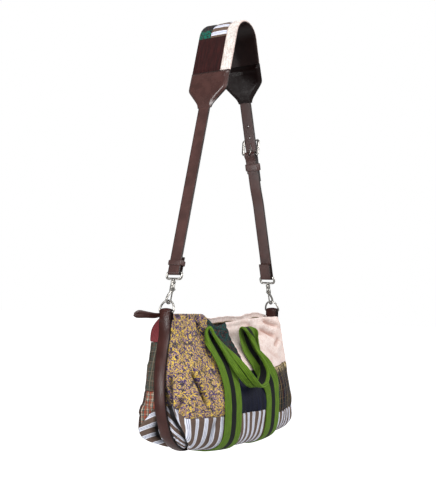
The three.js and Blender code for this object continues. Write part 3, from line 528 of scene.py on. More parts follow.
def band_group():
    """Mask of one coloured band in a repeat, along one coordinate in millimetres."""
    inputs = {word: "Float" for word in ("Coordinate", "Repeat", "Start", "Width")}
    tree, shade, entry, leave = node_group("woven_band", inputs, {"Mask": "Float"})
    moved = shade.math("SUBTRACT", entry["Coordinate"], entry["Start"])
    share = shade.math("FRACT", shade.math("DIVIDE", moved, entry["Repeat"]))
    place = shade.math("MULTIPLY", share, entry["Repeat"])
    soft = 0.25
    rise = shade.math("DIVIDE", place, soft, clamp=True)
    fall = shade.math("DIVIDE", shade.math("SUBTRACT", entry["Width"], place), soft, clamp=True)
    shade.feed(leave["Mask"], shade.math("MULTIPLY", rise, fall))
    return tree


def weave_group():
    """Height of crossing threads, and slight uneven dye, from the cloth's own places in millimetres."""
    inputs = {word: "Float" for word in ("Across", "Along", "Thread")}
    tree, shade, entry, leave = node_group("plain_weave", inputs, {"Height": "Float", "Dye": "Float"})

    def wave(word):
        threads = shade.math("DIVIDE", entry[word], entry["Thread"])
        return shade.math("SINE", shade.math("MULTIPLY", threads, 2 * math.pi))

    shade.feed(leave["Height"], shade.math("MULTIPLY", wave("Across"), wave("Along")))
    place = shade.add("CombineXYZ", entry["Across"], entry["Along"], 0.0).outputs[0]
    slubs = shade.noise(place, 0.09, 3.0)
    shade.feed(leave["Dye"], shade.ramp(slubs, 0.25, 0.75))
    return tree


WOVEN_BAND = band_group()
PLAIN_WEAVE = weave_group()


def linear(red, green, blue):
    """A colour given in 0 to 255 steps, for the shader."""
    steps = (c / 255 for c in (red, green, blue))
    return tuple(c / 12.92 if c <= 0.04045 else ((c + 0.055) / 1.055) ** 2.4 for c in steps) + (1.0,)


class Finish(Shader):
    """A material with one shader, whose sockets are set or fed by name."""

    def __init__(self, name, values):
        self.material = bpy.data.materials.new(name)
        self.material.use_nodes = True
        super().__init__(self.material.node_tree)
        self.sockets = self.tree.nodes["Principled BSDF"].inputs
        for word, value in values.items():
            self.set(word, value)

    def set(self, word, value):
        self.feed(self.sockets[word], value)

    def emboss(self, height, strength, depth):
        """Raises the surface by a height, and gives back the socket that takes the height."""
        raised = self.add("Bump", strength, depth * MM)
        self.feed(raised.inputs["Height"], height)
        self.set("Normal", raised.outputs[0])
        return raised.inputs["Height"]


class Cloth(Finish):
    """A cloth material with its pattern's places, weave bump and painted shade in its folds."""

    def __init__(self, name, roughness, sheen, thread=1.1, bump_height=0.12):
        super().__init__(name, {"Roughness": roughness, "Sheen Weight": sheen, "Sheen Roughness": 0.45,
                                "Specular IOR Level": 0.2})
        place = self.add("UVMap", uv_map="pattern").outputs[0]
        self.place = self.stretch(place, PATTERN_UNIT, PATTERN_UNIT, PATTERN_UNIT)
        split = self.add("SeparateXYZ", self.place).outputs
        self.across, self.up = split[0], split[1]
        self.weave = self.group(PLAIN_WEAVE, Across=self.across, Along=self.up, Thread=thread)
        self.relief = self.emboss(self.weave["Height"], 0.6, bump_height)

    def band(self, coordinate, repeat, start, width):
        return self.group(WOVEN_BAND, Coordinate=coordinate, Repeat=repeat, Start=start, Width=width)["Mask"]

    def ribs(self, coordinate, pitch):
        return self.math("SINE", self.math("MULTIPLY", coordinate, 2 * math.pi / pitch))

    def streaks(self, across, up, detail, distortion=0.0):
        """Noise that is drawn out along the cloth."""
        return self.noise(self.stretch(self.place, across, up, 1), 1.0, detail, distortion)

    def colour(self, value, dye=0.16, painted_shade_strength=0.55, painted_shade_tone=(12, 10, 12)):
        # Painted shade: the folds' value mixes the colour toward a shade tone, standing in for shadow in
        # creases and seams.
        depth = self.add("Attribute", attribute_name="painted_shade_and_edge_paint").outputs["Fac"]
        uneven = self.mix(self.math("MULTIPLY", self.weave["Dye"], dye), value, linear(30, 25, 25))
        shaded = self.mix(self.math("MULTIPLY", depth, painted_shade_strength), uneven, linear(*painted_shade_tone))
        self.set("Base Color", shaded)
        return self.material


STRIPE_REPEAT, STRIPE_WAVER = 16.3, 3.4


def stripes(cloth, line, white, thin_starts, thin_wide, tones):
    """Pale bands on brown, with two thin blue lines in each."""
    brown, pale, blue = (linear(*tone) for tone in tones)
    broad = cloth.band(line, STRIPE_REPEAT, *white)
    one, other = (cloth.band(line, STRIPE_REPEAT, start, thin_wide) for start in thin_starts)
    thin = cloth.math("MULTIPLY", cloth.math("MAXIMUM", one, other), 0.8)
    return cloth.mix(thin, cloth.mix(broad, brown, pale), blue)


def striped_cotton():
    """Brown and white striped cotton, whose stripes waver."""
    cloth = Cloth("striped_cotton", 0.75, 0.06)
    uneven = cloth.math("SUBTRACT", cloth.noise(cloth.place, 0.03, 1.0), 0.5)
    line = cloth.math("ADD", cloth.across, cloth.math("MULTIPLY", uneven, STRIPE_WAVER))
    tones = ((104, 85, 75), (232, 234, 244), (118, 126, 164))
    # Painted shade: the line in the fold by the strip is painted nearly black.
    return cloth.colour(stripes(cloth, line, (0.0, 7.3), (2.0, 4.2), 1.1, tones), painted_shade_strength=0.98)


# The band's seam, in sections: dip at the front's right, drop at the back's left corner, rise at the ends
BAND_DIP, CORNER_DROP, END_RISE = 0.33, 1.15, {-1: 0.6, 1: 0.3}
BAND_SEAM_DIP = 0.9
# Where they come in: places along the bag for the dip, degrees round it for the drop and the rise
DIP_IN, DROP_IN, DROP_END, DROP_OUT, RISE_IN = (58, 67), (34, 60), 88, 22, (64, 87)
# The stripes are wider past a place at the front's left corner
FULL_FROM, FULL_STRETCH = -85.0, 0.78
# On the ends they follow the height: degrees where that starts at the back, blend, first place, floor, slant
BACK_END_FROM, END_BLEND, END_PLACE, END_FLOOR = 70.0, 2.0, 120.0, 800.0
CHEVRON = {-1: 1.15, 1: 0.45}


def band_top(side, x):
    """The section of the band's seam, which dips at the front's right."""
    return BELLY - BAND_DIP * ease(x, *DIP_IN) if side < 0 else np.full_like(x, BELLY, dtype=float)


def band_rise(side, angle):
    """How far the band's seam is drawn up toward an end, and let down at the back's left corner."""
    degrees = np.degrees(np.abs(angle))
    corner = CORNER_DROP * ease(degrees, *DROP_IN) * ease(DROP_END - degrees, 0, DROP_OUT)
    corner = corner * ((side > 0) & (angle < 0))
    return END_RISE[side] * ease(degrees, *RISE_IN) - corner


def base_band(name):
    """The band from the front's seam, under the bag, to the back's."""
    rows, columns = 131, 181
    t = np.linspace(-1, 1, rows)
    angles = angles_between(np.full(rows, -END_ANGLE), np.full(rows, END_ANGLE), columns)
    outer, inner = np.empty((rows, columns, 3)), np.empty((rows, columns, 3))
    pattern, painted_shade_and_edge_paint = np.empty((rows, columns, 2)), np.empty((rows, columns))
    for side, here in ((-1, t < 0), (1, t >= 0)):
        angle = angles[here]
        rough_x = bag_form(side, angle, np.full_like(angle, BELLY))[..., 0]
        top = band_top(side, rough_x) + band_rise(side, angle)
        v = np.abs(t[here])[:, None] * (top - SEAM / 2 / SECTION_STEP)
        point, normal, painted_shade_and_edge_paint[here] = bag_cloth(side, angle, v, -BAND_SEAM_DIP * bump(v, top, 0.07))
        outer[here] = point + normal * CLOTH / 2
        inner[here] = point - normal * CLOTH / 2
        place = cloth_places(side, angle, v)
        place[..., 1] *= side
        past_full = np.minimum(place[..., 0] - FULL_FROM, 0) * (side < 0)
        place[..., 0] -= past_full * (1 - FULL_STRETCH)
        turned = along(END_FOLD, v, 1) if side < 0 else np.full_like(v, BACK_END_FROM)
        end_share = ease(np.degrees(np.abs(angle)), turned - END_BLEND, turned + END_BLEND)
        height = point[..., 2] + END_FLOOR
        climbed = np.sign(angle) * (END_PLACE + height + CHEVRON[side] * np.abs(point[..., 1]))
        place[..., 0] += end_share * (climbed - place[..., 0])
        pattern[here] = place
    return shell_mesh(name, outer, inner, pattern, painted_shade_and_edge_paint)


place_piece("base_stripe", base_band("base_band_cloth"), striped_cotton())

# Patches of the bag's walls
# Ten pieces of figured, plain and checked cloth, sewn edge to edge and to the base band, hemmed at the mouth.
# Each seam sits in a slight dip with small puckers, because the thread draws the cloth together.


def gold_brocade():
    """Figured silk: small gold curls and rosy flecks over violet, with darker leaves scattered through."""
    cloth = Cloth("gold_brocade", 0.5, 0.05, thread=0.9, bump_height=0.12)
    aside = cloth.add("VectorMath", cloth.place, (37.0, 91.0, 0.0), operation="ADD").outputs[0]
    curls = cloth.ramp(cloth.noise(cloth.place, 0.155, 1.5, 2.6), 0.53, 0.545)
    flecks = cloth.ramp(cloth.noise(aside, 0.18, 1.5, 1.6), 0.53, 0.56)
    leaves = cloth.ramp(cloth.noise(aside, 0.1, 1.0, 0.3), 0.58, 0.63)
    glint = cloth.ramp(cloth.noise(aside, 0.5, 1.0), 0.4, 0.6)
    ground = cloth.mix(flecks, linear(72, 57, 104), linear(162, 130, 128))
    ground = cloth.mix(leaves, ground, linear(58, 49, 66))
    gold = cloth.mix(glint, linear(200, 160, 44), linear(242, 212, 96))
    shown = cloth.math("MULTIPLY", curls, cloth.ramp(leaves, 0.0, 1.0, 1.0, 0.25))
    # Painted shade: the brocade's creases are painted strongly darker.
    return cloth.colour(cloth.mix(shown, ground, gold), dye=0.08, painted_shade_strength=0.85)


def dark_figured(name, brown_at, teal_at, teal):
    """Dark figured cloth that goes from brown to teal between two places on the patch."""
    cloth = Cloth(name, 0.65, 0.05)
    curls = cloth.ramp(cloth.noise(cloth.place, 0.13, 2.0, 2.2), 0.47, 0.55)
    specks = cloth.ramp(cloth.noise(cloth.place, 0.3, 2.0, 1.0), 0.52, 0.6)
    lower = cloth.ramp(cloth.up, brown_at, teal_at)
    ground = cloth.mix(lower, linear(40, 28, 30), linear(14, 20, 24))
    figure = cloth.mix(lower, linear(14, 32, 36), teal)
    warm = cloth.mix(specks, ground, linear(86, 48, 42))
    return cloth.colour(cloth.mix(curls, warm, figure), dye=0.1)


def cream_satin(name, light, rosy, figure):
    """Pale satin with rosy blooms and a small woven sprig."""
    cloth = Cloth(name, 0.42, 0.15, thread=0.7, bump_height=0.05)
    bloom = cloth.ramp(cloth.noise(cloth.place, 0.035, 3.0, 1.5), 0.42, 0.68)
    sprig = cloth.ramp(cloth.noise(cloth.place, 0.16, 2.0, 2.0), 0.5, 0.56)
    tone = cloth.mix(bloom, light, rosy)
    woven = cloth.mix(cloth.math("MULTIPLY", sprig, 0.45), tone, figure)
    # Painted shade: the cream's folds are painted in a rosy brown shade tone.
    return cloth.colour(woven, dye=0.04, painted_shade_strength=0.9, painted_shade_tone=(172, 124, 108))


def navy_satin():
    """Dark blue satin with faint ribs."""
    cloth = Cloth("navy_satin", 0.6, 0.0, thread=0.8)
    ribs = cloth.ramp(cloth.streaks(0.35, 0.02, 2.0), 0.35, 0.7)
    return cloth.colour(cloth.mix(ribs, linear(6, 10, 27), linear(15, 22, 50)))


BORDER_WIDE = 22.0


def checked_wool(name, ground, second, lines, repeat, cross_lines=1.0, pucker_highlights_to=None, border_to=None):
    """Checked cloth: broad bands of a second colour both ways, and thin lines of others over them, with
    painted highlights on puckers near a seam where given.
    """
    cloth = Cloth(name, 0.85, 0.06, thread=1.4, bump_height=0.2)
    mottled = cloth.ramp(cloth.noise(cloth.place, 0.12, 3.0), 0.4, 0.7)
    colour = cloth.mix(cloth.math("MULTIPLY", mottled, 0.5), ground, second)
    for coordinate, period, shown in ((cloth.up, repeat[1], cross_lines), (cloth.across, repeat[0], 1.0)):
        broad = cloth.band(coordinate, period, 0.0, period * 0.4)
        colour = cloth.mix(cloth.math("MULTIPLY", broad, 0.45), colour, second)
        for start, width, tone, strength in lines:
            mask = cloth.band(coordinate, period, start * period, width)
            colour = cloth.mix(cloth.math("MULTIPLY", mask, strength * shown), colour, linear(*tone))
    # Painted highlights: tan strokes near the seam stand for light on the gathered puckers.
    if pucker_highlights_to is not None:
        pucker_highlights = cloth.ramp(cloth.streaks(0.4, 0.07, 2.0, 0.6), 0.5, 0.58)
        near_seam = cloth.ramp(cloth.up, pucker_highlights_to - 17, pucker_highlights_to - 6)
        colour = cloth.mix(cloth.math("MULTIPLY", pucker_highlights, near_seam), colour, linear(206, 184, 138))
    if border_to is not None:
        border = cloth.band(cloth.across, 4 * BORDER_WIDE, border_to - BORDER_WIDE, BORDER_WIDE)
        colour = cloth.mix(cloth.math("MULTIPLY", border, 0.85), colour, linear(38, 33, 29))
    return cloth.colour(colour)


CORD_RIB = 2.6


def burgundy_cord(name, shaded_groove, ridge, rubbed):
    """Ribbed cord, darker in its grooves by painted shade and lighter in streaks of painted sheen."""
    cloth = Cloth(name, 0.85, 0.0, thread=1.2)
    ribs = cloth.ribs(cloth.across, CORD_RIB)
    sheen_streaks = cloth.ramp(cloth.streaks(0.3, 0.03, 3.0), 0.35, 0.75)
    cloth.feed(cloth.relief, cloth.math("ADD", ribs, cloth.weave["Height"]))
    # Painted shade: the colour darkens into the ribs' grooves.
    deep = cloth.mix(cloth.ramp(ribs, -1, 0.4), shaded_groove, ridge)
    # Painted sheen: the lighter streaks mix toward the rubbed tone.
    return cloth.colour(cloth.mix(cloth.math("MULTIPLY", sheen_streaks, 0.5), deep, rubbed))


CREAM_SATIN = cream_satin("cream_satin", linear(239, 223, 217), linear(226, 204, 196), linear(214, 181, 170))
GOLD_BROCADE = gold_brocade()
DARK_FIGURED = dark_figured("dark_figured", 205, 290, linear(8, 66, 63))
ROSE_CORD = burgundy_cord("rose_cord", linear(84, 30, 36), linear(128, 52, 58), linear(146, 70, 72))
# Thin lines of a check: start as a share of its repeat, width, colour, strength
BROWN_LINES = [
    (0.1, 1.7, (150, 122, 84), 0.75), (0.32, 1.2, (104, 40, 34), 0.6), (0.5, 2.2, (18, 34, 60), 0.8),
    (0.72, 1.2, (176, 150, 104), 0.7), (0.88, 1.6, (16, 40, 32), 0.7),
]
GREEN_LINES = [
    (0.2, 1.5, (150, 138, 118), 0.55), (0.5, 1.2, (34, 60, 64), 0.8), (0.75, 1.0, (104, 54, 48), 0.7),
]
TARTAN_LINES = [
    (0.15, 1.9, (170, 68, 46), 0.7), (0.45, 1.6, (62, 86, 84), 0.85), (0.7, 1.1, (206, 196, 180), 0.7),
]
BROWN_PLAID = checked_wool("brown_plaid", linear(20, 18, 16), linear(9, 12, 15), BROWN_LINES, (22.0, 26.0),
                           cross_lines=0.35, pucker_highlights_to=195)
GREEN_CHECK = checked_wool("green_check", linear(78, 80, 68), linear(56, 48, 42), GREEN_LINES, (13.0, 18.0))
RED_TARTAN = checked_wool("red_tartan", linear(138, 116, 97), linear(128, 72, 52), TARTAN_LINES, (10.0, 10.0),
                          border_to=-170)
LEG_X = 68.0
AT_LEFT_LEG, AT_RIGHT_LEG = (-LEG_X, -LEG_X), (LEG_X, LEG_X)
TEAL_EDGE, BACK_MID = (0.0, -6.0), (-45.0, -45.0)
TARTAN_TOP, BURGUNDY_FOOT = 5.3, 7.4
PLAID_FOOT = BELLY - BAND_DIP
PATCHES = [
    # node, slot, material, side, left edge at foot and top, right edge, foot, top
    ("front_brocade", "brocade", GOLD_BROCADE, -1, None, AT_LEFT_LEG, BELLY, HEM),
    ("front_teal", "teal", DARK_FIGURED, -1, AT_LEFT_LEG, TEAL_EDGE, WAIST, HEM),
    ("front_cream", "cream", CREAM_SATIN, -1, TEAL_EDGE, None, WAIST, HEM),
    ("front_navy", "navy", navy_satin(), -1, AT_LEFT_LEG, AT_RIGHT_LEG, BELLY, WAIST),
    ("front_plaid", "plaid", BROWN_PLAID, -1, AT_RIGHT_LEG, None, PLAID_FOOT, WAIST),
    ("back_burgundy", "burgundy", ROSE_CORD, 1, None, BACK_MID, BURGUNDY_FOOT, HEM),
    ("back_green_plaid", "green_plaid", GREEN_CHECK, 1, None, BACK_MID, TARTAN_TOP, BURGUNDY_FOOT),
    ("back_tartan", "tartan", RED_TARTAN, 1, None, BACK_MID, BELLY, TARTAN_TOP),
    ("back_cream", "cream", CREAM_SATIN, 1, BACK_MID, None, WAIST, HEM),
    ("back_brocade", "brocade", GOLD_BROCADE, 1, BACK_MID, None, BELLY, WAIST),
]
# Size of a mesh's squares, and what a patch's round end adds to its width
CLOTH_STEP, ROUND_END = 2.3, 60.0
# How far the waist seam climbs, in sections, and the degrees round the bag over which it does
WAIST_TILT, TILT_IN = 0.24, (16, 76)
# At a seam: depth and width of its dip, height, length and reach of its puckers
SEAM_DIP, SEAM_WIDE, PUCKER, PUCKER_LONG, PUCKER_WIDE = 1.0, 2.4, 0.5, 2.1, 6
# At the hem: the turned edge's roll and its line of stitches, each as height, place below the edge, width
HEM_ROLL, HEM_LINE = (0.5, 4, 3), (0.8, 10, 1.6)
FAR = 99.0


def waist_rise(side, angle):
    """How far the seam under the cream patch climbs toward the front's right end."""
    return WAIST_TILT * ease(np.degrees(angle), *TILT_IN) * (side < 0)


def wall_patch(name, side, left, right, foot, top):
    """A patch of one wall between two sections, with its seams drawn in."""
    rows = int((top - foot) * SECTION_STEP / CLOTH_STEP) + 2
    inset = SEAM / 2 / SECTION_STEP
    v = np.linspace(foot + inset, top - inset, rows)
    share = (v - foot) / (top - foot)

    def edge(ends, limit, move):
        if ends is None:
            return np.full(rows, limit)
        return angle_at(ends[0] + (ends[1] - ends[0]) * share + move, v)

    start, stop = edge(left, -END_ANGLE, SEAM / 2), edge(right, END_ANGLE, -SEAM / 2)
    half_up = rows // 2
    first, last = (bag_form(side, angles[half_up], v[half_up])[0] for angles in (start, stop))
    columns = int((abs(last - first) + ROUND_END) / CLOTH_STEP)
    angle = angles_between(start, stop, columns)
    height = np.repeat(v[:, None], columns, 1)
    rising, falling = share[:, None], 1 - share[:, None]
    if foot <= BELLY:
        height = height + band_rise(side, angle) * falling
    place = cloth_places(side, angle, height)
    across, up = place[..., 0], place[..., 1]
    from_left = FAR if left is None else across - across[:, :1]
    from_right = FAR if right is None else across[:, -1:] - across
    from_foot, from_top = up - up[:1], up[-1:] - up
    beside = np.minimum(from_left, from_right)
    above = from_foot if top == HEM else np.minimum(from_foot, from_top)
    dip = -SEAM_DIP * (bump(beside, 0, SEAM_WIDE) + bump(above, 0, SEAM_WIDE))
    dip += PUCKER * np.sin(up / PUCKER_LONG) * bump(beside, 0, PUCKER_WIDE)
    dip += PUCKER * np.sin(across / PUCKER_LONG) * bump(above, 0, PUCKER_WIDE)
    if top == HEM:
        dip += HEM_ROLL[0] * bump(from_top, *HEM_ROLL[1:]) - HEM_LINE[0] * bump(from_top, *HEM_LINE[1:])
    if top == WAIST:
        height = height + waist_rise(side, angle) * rising
    if foot == WAIST:
        height = height + waist_rise(side, angle) * falling
    point, normal, painted_shade_and_edge_paint = bag_cloth(side, angle, height, dip)
    return shell_mesh(name, point + normal * CLOTH / 2, point - normal * CLOTH / 2, place, painted_shade_and_edge_paint)


for node, slot, material, side, left, right, foot, top in PATCHES:
    place_piece(node, wall_patch(node + "_cloth", side, left, right, foot, top), material)

# Zip in the mouth
# Two dark tapes are sewn inside the mouth's edges, with a row of metal teeth along each. The zip is undone.
# A folded leather tab closes the zip's tail and stands out past the left end.
TAPE_WIDE, TAPE_THICK, TAPE_INSIDE = 11.0, 1.2, 2.25
TAPE_BELOW = {-1: 10.0, 1: 13.0}
TAPE_END = math.radians(64)


def zip_tape_cloth():
    """Dark brown woven tape."""
    cloth = Cloth("zip_tape", 0.85, 0.1, thread=0.8)
    return cloth.colour(cloth.mix(cloth.weave["Dye"], linear(40, 31, 28), linear(62, 48, 42)))


def zip_tape(side):
    """Points along the middle of a tape, its normals and its cloth's places."""
    rows, columns = 7, 150
    below = TAPE_BELOW[side]
    v = np.linspace(HEM - (below + TAPE_WIDE) / SECTION_STEP, HEM - below / SECTION_STEP, rows)
    angle = np.tile(np.linspace(-TAPE_END, TAPE_END, columns), (rows, 1))
    height = np.repeat(v[:, None], columns, 1)
    point, normal, _ = bag_cloth(side, angle, height, -TAPE_INSIDE)
    return point, normal, cloth_places(side, angle, height)


ZIP_TAPE = zip_tape_cloth()
for side, node in ((-1, "zip_tape_front"), (1, "zip_tape_back")):
    point, normal, places = zip_tape(side)
    half = normal * TAPE_THICK / 2
    place_piece(node, shell_mesh(node + "_cloth", point + half, point - half, places), ZIP_TAPE)


def polished_metal(name, tint, roughness):
    """Plated metal with rubbed places, a little tarnish and shallow dents."""
    metal = Finish(name, {"Metallic": 1.0})
    place = metal.add("TexCoord").outputs["Object"]
    rubbed = metal.ramp(metal.noise(place, 240.0, 4.0), 0.35, 0.7)
    tarnish = metal.ramp(metal.noise(place, 90.0, 3.0), 0.5, 0.75)
    metal.set("Base Color", metal.mix(metal.math("MULTIPLY", tarnish, 0.2), tint, linear(130, 127, 121)))
    metal.set("Roughness", metal.ramp(rubbed, 0, 1, roughness, roughness + 0.12))
    metal.emboss(metal.noise(place, 420.0, 3.0), 0.06, 0.2)
    return metal.material


TOOTH_PITCH, TOOTH_SIZE, TOOTH_RISE, TEETH_FROM = 3.0, np.array([1.6, 2.6, 3.0]), np.array([0, 0, 0.3]), 4
BOX_CORNERS = np.array([(i, j, k) for i in (-1, 1) for j in (-1, 1) for k in (-1, 1)], float) / 2
BOX_FACES = np.array([(0, 1, 3, 2), (4, 6, 7, 5), (0, 4, 5, 1), (2, 3, 7, 6), (0, 2, 6, 4), (1, 5, 7, 3)])


def zip_teeth(name, side):
    """Small metal blocks clamped along a tape's upper edge."""
    point, normal, _ = zip_tape(side)
    edge, out = point[-1], normal[-1]
    run = run_length(edge)
    points, faces = [], []
    for place in np.arange(TEETH_FROM, run[-1] - TEETH_FROM, TOOTH_PITCH):
        i = np.searchsorted(run, place) - 1
        share = (place - run[i]) / (run[i + 1] - run[i])
        centre = edge[i] + share * (edge[i + 1] - edge[i]) + TOOTH_RISE
        forward = unit(edge[i + 1] - edge[i])
        inward = unit(out[i] - (out[i] @ forward) * forward)
        faces += (BOX_FACES + len(points) * len(BOX_CORNERS)).tolist()
        axes = np.stack([forward, inward, np.cross(forward, inward)])
        points.append(centre + BOX_CORNERS * TOOTH_SIZE @ axes)
    return finish_mesh(name, np.concatenate(points), faces)


ZIP_METAL = polished_metal("zip_metal", linear(176, 160, 124), 0.3)
for side, word in ((-1, "front"), (1, "back")):
    add_piece(zip_teeth("zip_teeth_" + word, side), ZIP_METAL)


def leather_group():
    """Grain height, and a tone that changes slowly, from places in millimetres."""
    outputs = {"Height": "Float", "Tone": "Float"}
    tree, shade, entry, leave = node_group("leather_grain", {"Place": "Vector"}, outputs)
    pebble = shade.add("TexVoronoi", feature="DISTANCE_TO_EDGE")
    shade.feed(pebble.inputs["Vector"], entry["Place"])
    pebble.inputs["Scale"].default_value = 0.75
    grain = shade.ramp(pebble.outputs["Distance"], 0.0, 0.25)
    wrinkle = shade.noise(entry["Place"], 0.25, 4.0, 0.6)
    shade.feed(leave["Height"], shade.math("ADD", grain, wrinkle))
    shade.feed(leave["Tone"], shade.ramp(shade.noise(entry["Place"], 0.05, 4.0), 0.3, 0.72))
    return tree


LEATHER_GRAIN = leather_group()
EDGE_BAND = 2.6
LINED_GLOSS = 0.15


def leather(name, dark, light, edge, half_width=None, roughness=0.42, gloss=0.55, lining=None):
    """Smooth leather with grain, uneven dye, scuffs, painted edges, painted shade at a seam and, on some
    pieces, a lining behind.
    """
    hide = Finish(name, {"Coat Weight": 0.2 * gloss, "Coat Roughness": 0.3, "Specular IOR Level": gloss})
    place = hide.stretch(hide.add("TexCoord").outputs["Object"], 1 / MM, 1 / MM, 1 / MM)
    skin = hide.group(LEATHER_GRAIN, Place=place)
    colour = hide.mix(skin["Tone"], dark, light)
    scuffs = hide.ramp(hide.noise(place, 0.5, 5.0, 0.4), 0.62, 0.75)
    colour = hide.mix(hide.math("MULTIPLY", scuffs, 0.2), colour, linear(104, 74, 68))
    if half_width is not None:
        across = hide.add("SeparateXYZ", hide.add("UVMap", uv_map="pattern").outputs[0]).outputs[0]
        wide = hide.math("MULTIPLY", hide.math("ABSOLUTE", across), PATTERN_UNIT)
        edge_band = hide.ramp(wide, half_width - EDGE_BAND, half_width - 0.4 * EDGE_BAND)
        colour = hide.mix(hide.math("MULTIPLY", edge_band, 0.8), colour, edge)
    if lining is not None:
        lined = hide.add("Attribute", attribute_name="lined").outputs["Fac"]
        colour = hide.mix(lined, colour, lining)
        hide.set("Specular IOR Level", hide.ramp(lined, 0, 1, gloss, LINED_GLOSS))
    # The attribute darkens the colour toward the edge paint: real painted edges, and painted shade in the
    # crease at a seam.
    crease = hide.add("Attribute", attribute_name="painted_shade_and_edge_paint").outputs["Fac"]
    hide.set("Base Color", hide.mix(hide.math("MULTIPLY", crease, 0.85), colour, edge))
    hide.set("Roughness", hide.ramp(skin["Tone"], 0, 1, roughness, roughness + 0.05))
    hide.emboss(skin["Height"], 0.2, 0.15)
    return hide.material


LEATHER_DARK, LEATHER_LIGHT, EDGE_PAINT = linear(58, 31, 27), linear(72, 41, 36), linear(16, 10, 9)
ZIP_TAB_THICK, ZIP_TAB_HALF, ZIP_TAB_LONG = 4.4, 6.0, 100.0
# Share of the length that the round tip takes, and share of the thickness that the pinch takes
ZIP_TAB_TIP, ZIP_TAB_PINCH = 0.06, 0.45
# Inside the mouth: places along the bag, sections of the tab's edges, and its distance from the back wall
ZIP_TAB_FOOT, ZIP_TAB_EDGES, ZIP_TAB_OUT = (-140.0, -160.0), (HEM - 0.32, HEM), 3.85
# Past the end of the mouth: x, y and z of the tab's lower edge, y and z of its upper edge
ZIP_TAB_FREE = np.array([
    (-182, 24, -569, 18.5, -560), (-204, 25, -568.5, 19.5, -557.5), (-226, 25.5, -568.3, 20, -554.5),
    (-234, 25, -567, 20.5, -555.5), (-239.5, 24, -565, 22, -560),
])


def zip_tab():
    """Two leather layers folded over the zip's tail, pinched at the seam and rounded at the tip."""
    rows, columns = 60, 15

    def on_wall(x, v):
        angle = angle_at(x, np.array(v))
        return bag_form(1, angle, v) + bag_normal(1, angle, v) * ZIP_TAB_OUT

    foot = [np.concatenate([on_wall(x, v) for v in ZIP_TAB_EDGES]) for x in ZIP_TAB_FOOT]
    lines = np.concatenate([foot, ZIP_TAB_FREE[:, [0, 1, 2, 0, 3, 4]]])
    lines = blend_rows(lines, np.linspace(0, len(lines) - 1, rows))
    low, high = lines[:, None, :3], lines[:, None, 3:]
    share = np.linspace(0, 1, columns)[None, :, None]
    middle = low + (high - low) * share + np.array([BAG_X, 0, 0])
    normal = unit(np.cross(np.gradient(middle, axis=0), np.gradient(middle, axis=1)))
    round_edge = np.sqrt(np.clip(1 - (2 * share - 1) ** 4, 0.02, 1))
    along_share = np.linspace(0, 1, rows)[:, None, None]
    tip = np.sqrt(np.clip((1 - along_share) / ZIP_TAB_TIP, 0.05, 1))
    crease = 1 - ZIP_TAB_PINCH * bump(share, 0.55, 0.1) * ease(along_share, 0.45, 0.75)
    half = ZIP_TAB_THICK / 2 * round_edge * tip * crease
    across, run = (2 * share - 1) * ZIP_TAB_HALF, along_share * ZIP_TAB_LONG
    pattern = np.concatenate(np.broadcast_arrays(across, run), -1)
    return shell_mesh("zip_tab_leather", middle + normal * half, middle - normal * half, pattern)


PLAIN_LEATHER = leather("plain_leather", LEATHER_DARK, LEATHER_LIGHT, EDGE_PAINT)
place_piece("zip_tab", zip_tab(), PLAIN_LEATHER)

# Leather end strips
# A flat dark brown strap runs up each end seam from under the base, round its D-ring's bar and down behind
# itself. Its edges are painted black, and two rows of thread fasten the loop below the ring.
RING_SPAN, RING_DROP = 358.0, 556.7
# The strap's path is worked out here too: it bends over the shoulder outside the pad's lining
SHOULDER_BEND, LINING, LINING_BELOW = 32.0, 2.2, 0.8
STRAP_BEND = SHOULDER_BEND + LINING + LINING_BELOW
GAP = 0.35
STRAP_WIDE, STRAP_THICK = 26.0, 2.6
EYE_WIRE = 1.9
EYE_N = -(EYE_WIRE + GAP + STRAP_THICK / 2)
BOLT_OFFSET, HOOK_BEND = 2.4, 6.2
RING_X, RING_WIRE = HOOK_BEND - BOLT_OFFSET, 1.8
STRIP_WIDE, STRIP_THICK, STRIP_CROWN = 26.0, 2.2, 2.0
STRIP_EASE, STRIP_TAIL, STRIP_TUCK = 0.8, 14.0, 1.5
# Sections where the strip comes out from under the base, and where it leaves the seam for the ring
STRIP_OUT, STRIP_TOP = (0.1, 0.9), HEM - 0.25
STRIP_STATIONS = 90
ACROSS = np.array([0.0, 1.0, 0.0])


def strap_leg(hand):
    """One leg of the strap: its hand, the length of its bend, and how far along it the D-ring's bar is."""
    aside, below = RING_SPAN / 2 + hand * BAG_X, RING_DROP - SHOULDER_BEND
    far = math.hypot(aside, below)
    angle = math.pi - math.atan2(aside, below) - math.acos(STRAP_BEND / far)
    arc = STRAP_BEND * angle
    return dict(hand=hand, arc=arc, ring=arc + math.sqrt(far ** 2 - STRAP_BEND ** 2))


LEFT_STRAP, RIGHT_STRAP = strap_leg(-1), strap_leg(1)


def strap_point(leg, s, y=0.0, n=0.0):
    """A place s along the strap from the top of the shoulder, y across it and n outward from it."""
    s, y, n = np.broadcast_arrays(np.asarray(s, float), y, n)
    on_arc = np.minimum(np.abs(s), leg["arc"])
    down = np.abs(s) - on_arc
    angle = on_arc / STRAP_BEND
    x = (STRAP_BEND + n) * np.sin(angle) + down * np.cos(angle)
    z = -SHOULDER_BEND + (STRAP_BEND + n) * np.cos(angle) - down * np.sin(angle)
    return np.stack([leg["hand"] * x, y, z], -1)


